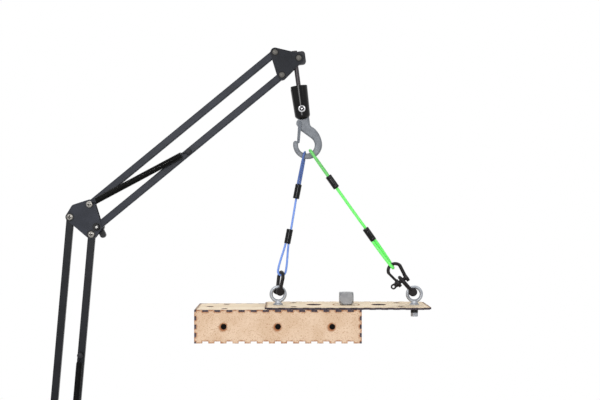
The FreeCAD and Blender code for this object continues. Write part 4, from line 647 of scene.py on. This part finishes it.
def end_tree(tree, geometry, material):
    """Smooth, painted and realised, as every tree ends."""
    smooth = add(tree, "GeometryNodeSetShadeSmooth", {"Geometry": geometry}).outputs[0]
    real = add(tree, "GeometryNodeRealizeInstances", {"Geometry": smooth}).outputs[0]
    painted = add(tree, "GeometryNodeSetMaterial", {"Geometry": real, "Material": material}).outputs[0]
    add(tree, "NodeGroupOutput", {0: painted})
    return tree


def coil_tree():
    """Close-wound round wire up +Z from the origin."""
    tree, given = new_tree("wound_coil", {
        "Coil Radius": "Float", "Wire Radius": "Float", "Turns": "Float", "Length": "Float",
        "Material": "Material",
    })
    line = add(tree, "GeometryNodeCurveSpiral", {
        "Resolution": 22, "Rotations": given["Turns"], "Start Radius": given["Coil Radius"],
        "End Radius": given["Coil Radius"], "Height": given["Length"],
    }).outputs[0]
    wire = add(tree, "GeometryNodeCurvePrimitiveCircle", {
        "Resolution": 8, "Radius": given["Wire Radius"],
    }).outputs[0]
    tube = add(tree, "GeometryNodeCurveToMesh", {
        "Curve": line, "Profile Curve": wire, "Fill Caps": True,
    }).outputs[0]
    return end_tree(tree, tube, given["Material"])


ROPE_STEP = 0.6


def rope_tree():
    """Laid strands showing through a coat, along the line that is given."""
    tree, given = new_tree("coated_rope", {
        "Radius": "Float", "Strands": "Float", "Lay": "Float", "Relief": "Float", "Material": "Material",
    })
    path = add(tree, "GeometryNodeMeshToCurve", {"Mesh": given["Geometry"]}).outputs[0]
    path = add(tree, "GeometryNodeResampleCurve", {"Curve": path, "Length": ROPE_STEP * MM},
               mode="LENGTH").outputs[0]
    run = add(tree, "GeometryNodeCaptureAttribute", {"Geometry": path})
    run.capture_items.new("FLOAT", "Run")
    tree.links.new(add(tree, "GeometryNodeSplineParameter").outputs["Length"], run.inputs["Run"])
    ring = add(tree, "GeometryNodeCurvePrimitiveCircle", {
        "Resolution": 30, "Radius": given["Radius"],
    }).outputs[0]
    turn = add(tree, "GeometryNodeCaptureAttribute", {"Geometry": ring})
    turn.capture_items.new("FLOAT", "Turn")
    tree.links.new(add(tree, "GeometryNodeSplineParameter").outputs["Factor"], turn.inputs["Turn"])
    tube = add(tree, "GeometryNodeCurveToMesh", {
        "Curve": run.outputs[0], "Profile Curve": turn.outputs[0], "Fill Caps": True,
    }).outputs[0]
    laid = add(tree, "ShaderNodeMath", {0: run.outputs["Run"], 1: given["Lay"]},
               operation="DIVIDE").outputs[0]
    round_it = add(tree, "ShaderNodeMath", {0: turn.outputs["Turn"], 1: laid}, operation="ADD").outputs[0]
    count = add(tree, "ShaderNodeMath", {0: given["Strands"], 1: math.pi}, operation="MULTIPLY").outputs[0]
    phase = add(tree, "ShaderNodeMath", {0: round_it, 1: count}, operation="MULTIPLY").outputs[0]
    crest = add(tree, "ShaderNodeMath", {0: phase}, operation="SINE").outputs[0]
    crest = add(tree, "ShaderNodeMath", {0: crest}, operation="ABSOLUTE").outputs[0]
    groove = add(tree, "ShaderNodeMath", {0: 1.0, 1: crest}, operation="SUBTRACT").outputs[0]
    depth = add(tree, "ShaderNodeMath", {0: groove, 1: given["Relief"]}, operation="MULTIPLY").outputs[0]
    inward = add(tree, "ShaderNodeMath", {0: depth, 1: -1.0}, operation="MULTIPLY").outputs[0]
    normal = add(tree, "GeometryNodeInputNormal").outputs[0]
    shift = add(tree, "ShaderNodeVectorMath", {0: normal, "Scale": inward}, operation="SCALE").outputs[0]
    kept = add(tree, "GeometryNodeStoreNamedAttribute", {"Geometry": tube, "Name": "groove", "Value": groove},
               data_type="FLOAT", domain="POINT").outputs[0]
    formed = add(tree, "GeometryNodeSetPosition", {"Geometry": kept, "Offset": shift}).outputs[0]
    return end_tree(tree, formed, given["Material"])


def washer_tree():
    """A soft-edged ring, front at the origin's -Y, on every vertex that is given."""
    tree, given = new_tree("nylon_washers", {
        "Inner Radius": "Float", "Outer Radius": "Float", "Thickness": "Float", "Material": "Material",
    })
    half = add(tree, "ShaderNodeMath", {0: given["Thickness"], 1: 0.5}, operation="MULTIPLY").outputs[0]
    middle = add(tree, "ShaderNodeMath", {0: given["Inner Radius"], 1: given["Outer Radius"]}).outputs[0]
    middle = add(tree, "ShaderNodeMath", {0: middle, 1: 0.5}, operation="MULTIPLY").outputs[0]
    width = add(tree, "ShaderNodeMath", {0: given["Outer Radius"], 1: given["Inner Radius"]},
                operation="SUBTRACT").outputs[0]
    softness = add(tree, "ShaderNodeMath", {0: half, 1: 0.7}, operation="MULTIPLY").outputs[0]
    section = add(tree, "GeometryNodeCurvePrimitiveQuadrilateral", {
        "Width": width, "Height": given["Thickness"],
    }).outputs[0]
    section = add(tree, "GeometryNodeFilletCurve", {
        "Curve": section, "Count": 4, "Radius": softness,
    }, mode="POLY").outputs[0]
    line = add(tree, "GeometryNodeCurvePrimitiveCircle", {"Resolution": 48, "Radius": middle}).outputs[0]
    ring = add(tree, "GeometryNodeCurveToMesh", {"Curve": line, "Profile Curve": section}).outputs[0]
    ring = add(tree, "GeometryNodeTransform", {
        "Geometry": ring, "Rotation": (math.radians(90), 0, 0),
    }).outputs[0]
    placed = add(tree, "GeometryNodeInstanceOnPoints", {
        "Points": given["Geometry"], "Instance": ring,
    }).outputs[0]
    return end_tree(tree, placed, given["Material"])


WOUND_COIL = coil_tree()
COATED_ROPE = rope_tree()
NYLON_WASHERS = washer_tree()

WASHER_INNER = 5.02
WASHER_OUTER = 6.5
WASHER_THICKNESS = 0.9


def washers(name, body, points):
    """Black nylon washers round the screw heads on a front plate, at points (x, z) in millimetres."""
    seats = bpy.data.meshes.new(name + "_seats")
    seats.from_pydata([at(point, -PLATE_OUTER - WASHER_THICKNESS / 2) for point in points], [], [])
    seed = linked(name + "_seats", seats)
    mesh = grown(NYLON_WASHERS, seed, {
        "Inner Radius": WASHER_INNER * MM, "Outer Radius": WASHER_OUTER * MM,
        "Thickness": WASHER_THICKNESS * MM, "Material": black_nylon,
    }, name)
    bpy.data.objects.remove(seed)
    made = linked(name, mesh)
    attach(made, body)


washers("elbow_nylon_washers", "elbow", ELBOW_PLAIN + [ELBOW_KNOB])
washers("base_nylon_washers", "post", BASE_PIVOTS)

SPRING_WIRE = 0.7
SPRING_COIL = 4.3
TURN_GAP = 0.02
# Depths of the coil's axis and of the hooks, and the length from a neck to the first turn
COIL_Y = -10.0
HOOK_Y = -8.4
SPRING_LEAD = 12.0
# The neck that a hook goes round, the play between them, and the hook's steps in degrees
NECK_RADIUS = 3.0
NECK_PLAY = 0.3
HOOK_DEGREES = range(90, -251, -17)


def spring(name, start, end):
    """Tension spring with a hook at each end, between two necks (x, z) in front of the bar.
    """
    ring = NECK_RADIUS + NECK_PLAY + SPRING_WIRE
    length = math.dist(start, end)
    body_length = length - 2 * SPRING_LEAD
    turns = math.floor(body_length / (2 * SPRING_WIRE + TURN_GAP)) + 0.5
    seed = linked(name + "_seed", bpy.data.meshes.new(name + "_seed"))
    coils = grown(WOUND_COIL, seed, {
        "Coil Radius": SPRING_COIL * MM, "Wire Radius": SPRING_WIRE * MM, "Turns": turns,
        "Length": body_length * MM, "Material": spring_wire,
    }, name)
    bpy.data.objects.remove(seed)
    shape = bmesh.new()
    shape.from_mesh(coils)
    bmesh.ops.translate(shape, verts=shape.verts, vec=(0, COIL_Y * MM, SPRING_LEAD * MM))
    last_turn = SPRING_COIL * math.cos(turns * math.tau)
    for foot, rise, first in ((0.0, 1, SPRING_COIL), (length, -1, last_turn)):
        # Off the last turn, in towards the middle, then round the neck
        line = [
            Vector((first, COIL_Y, foot + rise * SPRING_LEAD)),
            Vector((first * 0.75, COIL_Y, foot + rise * (SPRING_LEAD - 1.2))),
            Vector((first * 0.2, (COIL_Y + HOOK_Y) / 2, foot + rise * (ring + 2.8))),
        ]
        for angle in map(math.radians, HOOK_DEGREES):
            line.append(Vector((ring * math.cos(angle), HOOK_Y, foot + rise * ring * math.sin(angle))))
        swept(shape, [point * MM for point in line], SPRING_WIRE * MM, sides=10)
    run = at(end) - at(start)
    lean = math.atan2(run.x, run.z)
    shape.transform(Matrix.Translation(at(start)) @ Matrix.Rotation(lean, 4, "Y"))
    made = linked(name + "_coils", from_bmesh(name, shape, spring_wire))
    bpy.data.meshes.remove(coils)
    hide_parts(name)
    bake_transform(made)


spring("lower_spring", BASE_STUD, LOWER_ANCHOR)
spring("upper_spring", ELBOW_TOP, UPPER_ANCHOR)


# ---- Screws ----

# Edges that bend more than this stay crisp
CRISP_ANGLE = math.radians(35)
RECESS_ARM = 3.0
RECESS_HALF_WIDTH = 0.7
RECESS_DEPTH = 1.4
# How far the cutting prism stands out in front of the head
RECESS_CLEAR = 1.0


def cross_prism(shape, x, z, low, high):
    """Adds a closed cross-shaped prism along Y to a bmesh, in millimetres."""
    arm, half = RECESS_ARM, RECESS_HALF_WIDTH
    outline = [(arm, -half), (arm, half), (half, half), (half, arm), (-half, arm), (-half, half),
               (-arm, half), (-arm, -half), (-half, -half), (-half, -arm), (half, -arm), (half, -half)]
    skinned(shape, [[shape.verts.new(at((x + across, z + up), depth)) for across, up in outline]
                    for depth in (low, high)])


def recessed(node, body, centres):
    """The CAD screws with a cross recess sunk in each head that faces the front at centres (x, z)."""
    shape = cad_shape(node)
    cutters = bmesh.new()
    for x, z in centres:
        front = min(vert.co.y / MM for vert in shape.verts
                    if math.hypot(vert.co.x / MM - x, vert.co.z / MM - z) < RECESS_ARM)
        cross_prism(cutters, x, z, front - RECESS_CLEAR, front + RECESS_DEPTH)
    heads = linked(node + "_recessed", from_bmesh(node + "_recessed", shape, pivot_zinc))
    tool = linked(node + "_crosses", from_bmesh(node + "_crosses", cutters, pivot_zinc))
    cut = heads.modifiers.new("recess", "BOOLEAN")
    cut.object = tool
    cut.solver = "EXACT"
    ready = heads.evaluated_get(bpy.context.evaluated_depsgraph_get())
    mesh = bpy.data.meshes.new_from_object(ready)
    heads.modifiers.remove(cut)
    heads.data = mesh
    mesh.set_sharp_from_angle(angle=CRISP_ANGLE)
    bpy.data.objects.remove(tool)
    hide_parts(node)
    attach(heads, body)


recessed("elbow_pivot_screws", "elbow", ELBOW_HEADS)
recessed("base_pivot_screws", "post", BASE_HEADS)

# The clamp screw stands on the Z axis; its plain shank runs from its head up to its tip
SHANK_RADIUS = 5.0
SHANK_LOW = -94.0
SHANK_HIGH = -30.05
THREAD_PITCH = 1.5
THREAD_DEPTH = 0.8
# A flank falls by this many thread depths for each pitch, down to a flat root
FLANK_RISE = 2.2
THREAD_SIDES = 48
THREAD_STEPS = 8


def thread(shape, low, high):
    """Adds a closed rod with a right-handed screw thread up the Z axis to a bmesh, in millimetres."""
    rings = []
    for row in range(round((high - low) / THREAD_PITCH * THREAD_STEPS) + 1):
        height = low + row * THREAD_PITCH / THREAD_STEPS
        ring = []
        for i in range(THREAD_SIDES):
            share = (height / THREAD_PITCH - i / THREAD_SIDES) % 1.0
            reach = SHANK_RADIUS - THREAD_DEPTH * min(1.0, FLANK_RISE * min(share, 1.0 - share))
            turn = math.tau * i / THREAD_SIDES
            place = Vector((reach * math.cos(turn), reach * math.sin(turn), height))
            ring.append(shape.verts.new(place * MM))
        rings.append(ring)
    skinned(shape, rings)


def clamp_screw():
    """The CAD screw's head and tip, with a cut thread in place of its plain shank."""
    shape = cad_shape("clamp_screw")
    bmesh.ops.remove_doubles(shape, verts=shape.verts, dist=1e-6)
    shank = [face for face in shape.faces
             if all(abs(vert.co.xy.length / MM - SHANK_RADIUS) < 0.02 for vert in face.verts)
             and SHANK_LOW < face.calc_center_median().z / MM < SHANK_HIGH]
    bmesh.ops.delete(shape, geom=shank, context="FACES")
    bmesh.ops.holes_fill(shape, edges=[edge for edge in shape.edges if edge.is_boundary])
    # It starts inside the head and ends just short of the tip
    thread(shape, SHANK_LOW - 0.5, SHANK_HIGH - 0.01)
    mesh = from_bmesh("clamp_screw_thread", shape, threaded_zinc)
    mesh.set_sharp_from_angle(angle=CRISP_ANGLE)
    made = linked("clamp_screw_thread", mesh)
    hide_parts("clamp_screw")
    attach(made, "clamp_spindle")


clamp_screw()


# ---- Ropes ----

def route_points(route):
    """Points read from the smooth line that has the route as its control points."""
    curve = bpy.data.curves.new("route", "CURVE")
    curve.dimensions = "3D"
    spline = curve.splines.new("NURBS")
    spline.points.add(len(route) - 1)
    for point, place in zip(spline.points, route):
        point.co = (*place, 1.0)
    spline.order_u = 3
    spline.use_endpoint_u = True
    spline.resolution_u = 24
    held = linked("route", curve)
    bpy.context.view_layer.update()
    mesh = bpy.data.meshes.new_from_object(held.evaluated_get(bpy.context.evaluated_depsgraph_get()))
    points = [vertex.co.copy() for vertex in mesh.vertices]
    bpy.data.objects.remove(held)
    bpy.data.meshes.remove(mesh)
    return points


def rope(name, node, body, route, radius, material):
    """One coated rope along its route."""
    points = route_points(route)
    line = bpy.data.meshes.new(name + "_line")
    line.from_pydata(points, [(i, i + 1) for i in range(len(points) - 1)], [])
    seed = linked(name + "_line", line)
    mesh = grown(COATED_ROPE, seed, {
        "Radius": radius * MM, "Strands": 7.0, "Lay": 9 * radius * MM, "Relief": 0.10 * radius * MM,
        "Material": material,
    }, name)
    bpy.data.objects.remove(seed)
    made = linked(name, mesh)
    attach(made, body)
    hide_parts(node)


SLEEVE_HALF = 11.3
SLEEVE_SIDES = 36
# Half of the sleeve's outline: millimetres from its middle, and the share of its full width there
SLEEVE_OUTLINE = [
    (-SLEEVE_HALF + 0.5, 0.55), (-SLEEVE_HALF + 0.1, 0.72), (-SLEEVE_HALF, 0.86),
    (-SLEEVE_HALF + 0.25, 0.95), (-SLEEVE_HALF + 0.9, 0.995),
    (-7.4, 1.0), (-6.6, 0.965), (-5.8, 0.99), (-3.0, 1.0), (0.0, 0.985),
]


def sleeve(shape, bow, distance, half_width, half_depth, turned):
    """Adds a crimped sleeve under shrink tube, distance down the line from the hook to a shackle.

    Its width runs along Y, or across the line on the mid-plane where it is turned.
    """
    run = (at(bow) - at(HOOK_BOW)).normalized()
    side = Vector((-run.z, 0, run.x))
    wide, deep = (side, Vector((0, 1, 0))) if turned else (Vector((0, 1, 0)), side)
    mirrored = [(-height, scale) for height, scale in reversed(SLEEVE_OUTLINE[:-1])]
    centre = at(HOOK_BOW) + run * distance * MM
    rings = []
    for height, scale in SLEEVE_OUTLINE + mirrored:
        ring = []
        for i in range(SLEEVE_SIDES):
            turn = math.tau * i / SLEEVE_SIDES
            offset = wide * (half_width * math.cos(turn)) + deep * (half_depth * math.sin(turn))
            ring.append(shape.verts.new(centre + (run * height + offset * scale) * MM))
        rings.append(ring)
    skinned(shape, rings)


def sleeves(name, node, body, bow, places):
    """All the sleeves of one rope as one piece; each place is what sleeve takes after the bow."""
    shape = bmesh.new()
    for place in places:
        sleeve(shape, bow, *place)
    made = linked(name, from_bmesh(name, shape, shrink_sleeve))
    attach(made, body)
    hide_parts(node)
    return made


blue_sleeves = sleeves("blue_shrink_sleeves", "blue_ferrules", "blue_leg", SHACKLE_BOWS["blue"],
                       [(72.8, 5.0, 5.0, False), (143.3, 5.0, 5.0, True)])
green_sleeves = sleeves("green_shrink_sleeves", "green_ferrules", "green_leg", SHACKLE_BOWS["green"],
                        [(69.5, 6.1, 5.0, False), (168.4, 6.1, 5.0, False)])

# Radii of the coated ropes in millimetres
BLUE_RADIUS = 1.7
GREEN_RADIUS = 2.4
# Routes in metres, from the upper sleeve, round the hook or the shackle, and back
BLUE_EYE = [
    (0.366847, 0.0004, 0.514297), (0.369203, 0.0008, 0.526369), (0.376056, 0.0064, 0.562620),
    (0.377409, 0.0064, 0.575483), (0.376209, -0.0064, 0.575483), (0.372956, -0.0064, 0.563220),
    (0.365767, -0.0008, 0.527039), (0.362836, -0.0004, 0.512023),
]
BLUE_SLING = [
    (0.365071, 0.0018, 0.514337), (0.355743, 0.0, 0.457166), (0.351029, 0.0, 0.433021),
    (0.348945, 0.0, 0.399906), (0.345807, 0.0, 0.384471), (0.334073, 0.0, 0.386762),
    (0.336971, 0.0, 0.402244), (0.347496, 0.0, 0.433711), (0.351826, 0.0, 0.455892),
]
GREEN_EYE = [
    (0.419179, 0.0025, 0.529319), (0.412582, 0.0025, 0.539711), (0.393599, 0.0071, 0.566582),
    (0.384906, 0.0071, 0.577834), (0.384906, -0.0071, 0.577834), (0.392599, -0.0071, 0.565890),
    (0.411582, -0.0025, 0.539019), (0.42091, -0.0025, 0.526868),
]
GREEN_SLING = [
    (0.419352, 0.0, 0.529074), (0.4702, 0.0004, 0.457095), (0.48530, 0.0010, 0.439881),
    (0.504933, 0.0046, 0.411257), (0.513399, 0.005341, 0.397219), (0.512199, -0.005341, 0.396372),
    (0.501797, -0.0046, 0.409041), (0.48138, -0.0010, 0.437111), (0.46834, -0.0004, 0.455569),
]
rope("blue_hook_loop", "blue_upper_eye", "blue_eye", BLUE_EYE, BLUE_RADIUS,
     blue_rubbed)
rope("blue_leg_rope", "blue_sling", "blue_leg", BLUE_SLING, BLUE_RADIUS,
     blue_vinyl)
rope("green_hook_loop", "green_upper_eye", "green_eye", GREEN_EYE, GREEN_RADIUS,
     green_rubbed)
rope("green_leg_rope", "green_sling", "green_leg", GREEN_SLING, GREEN_RADIUS,
     green_vinyl)
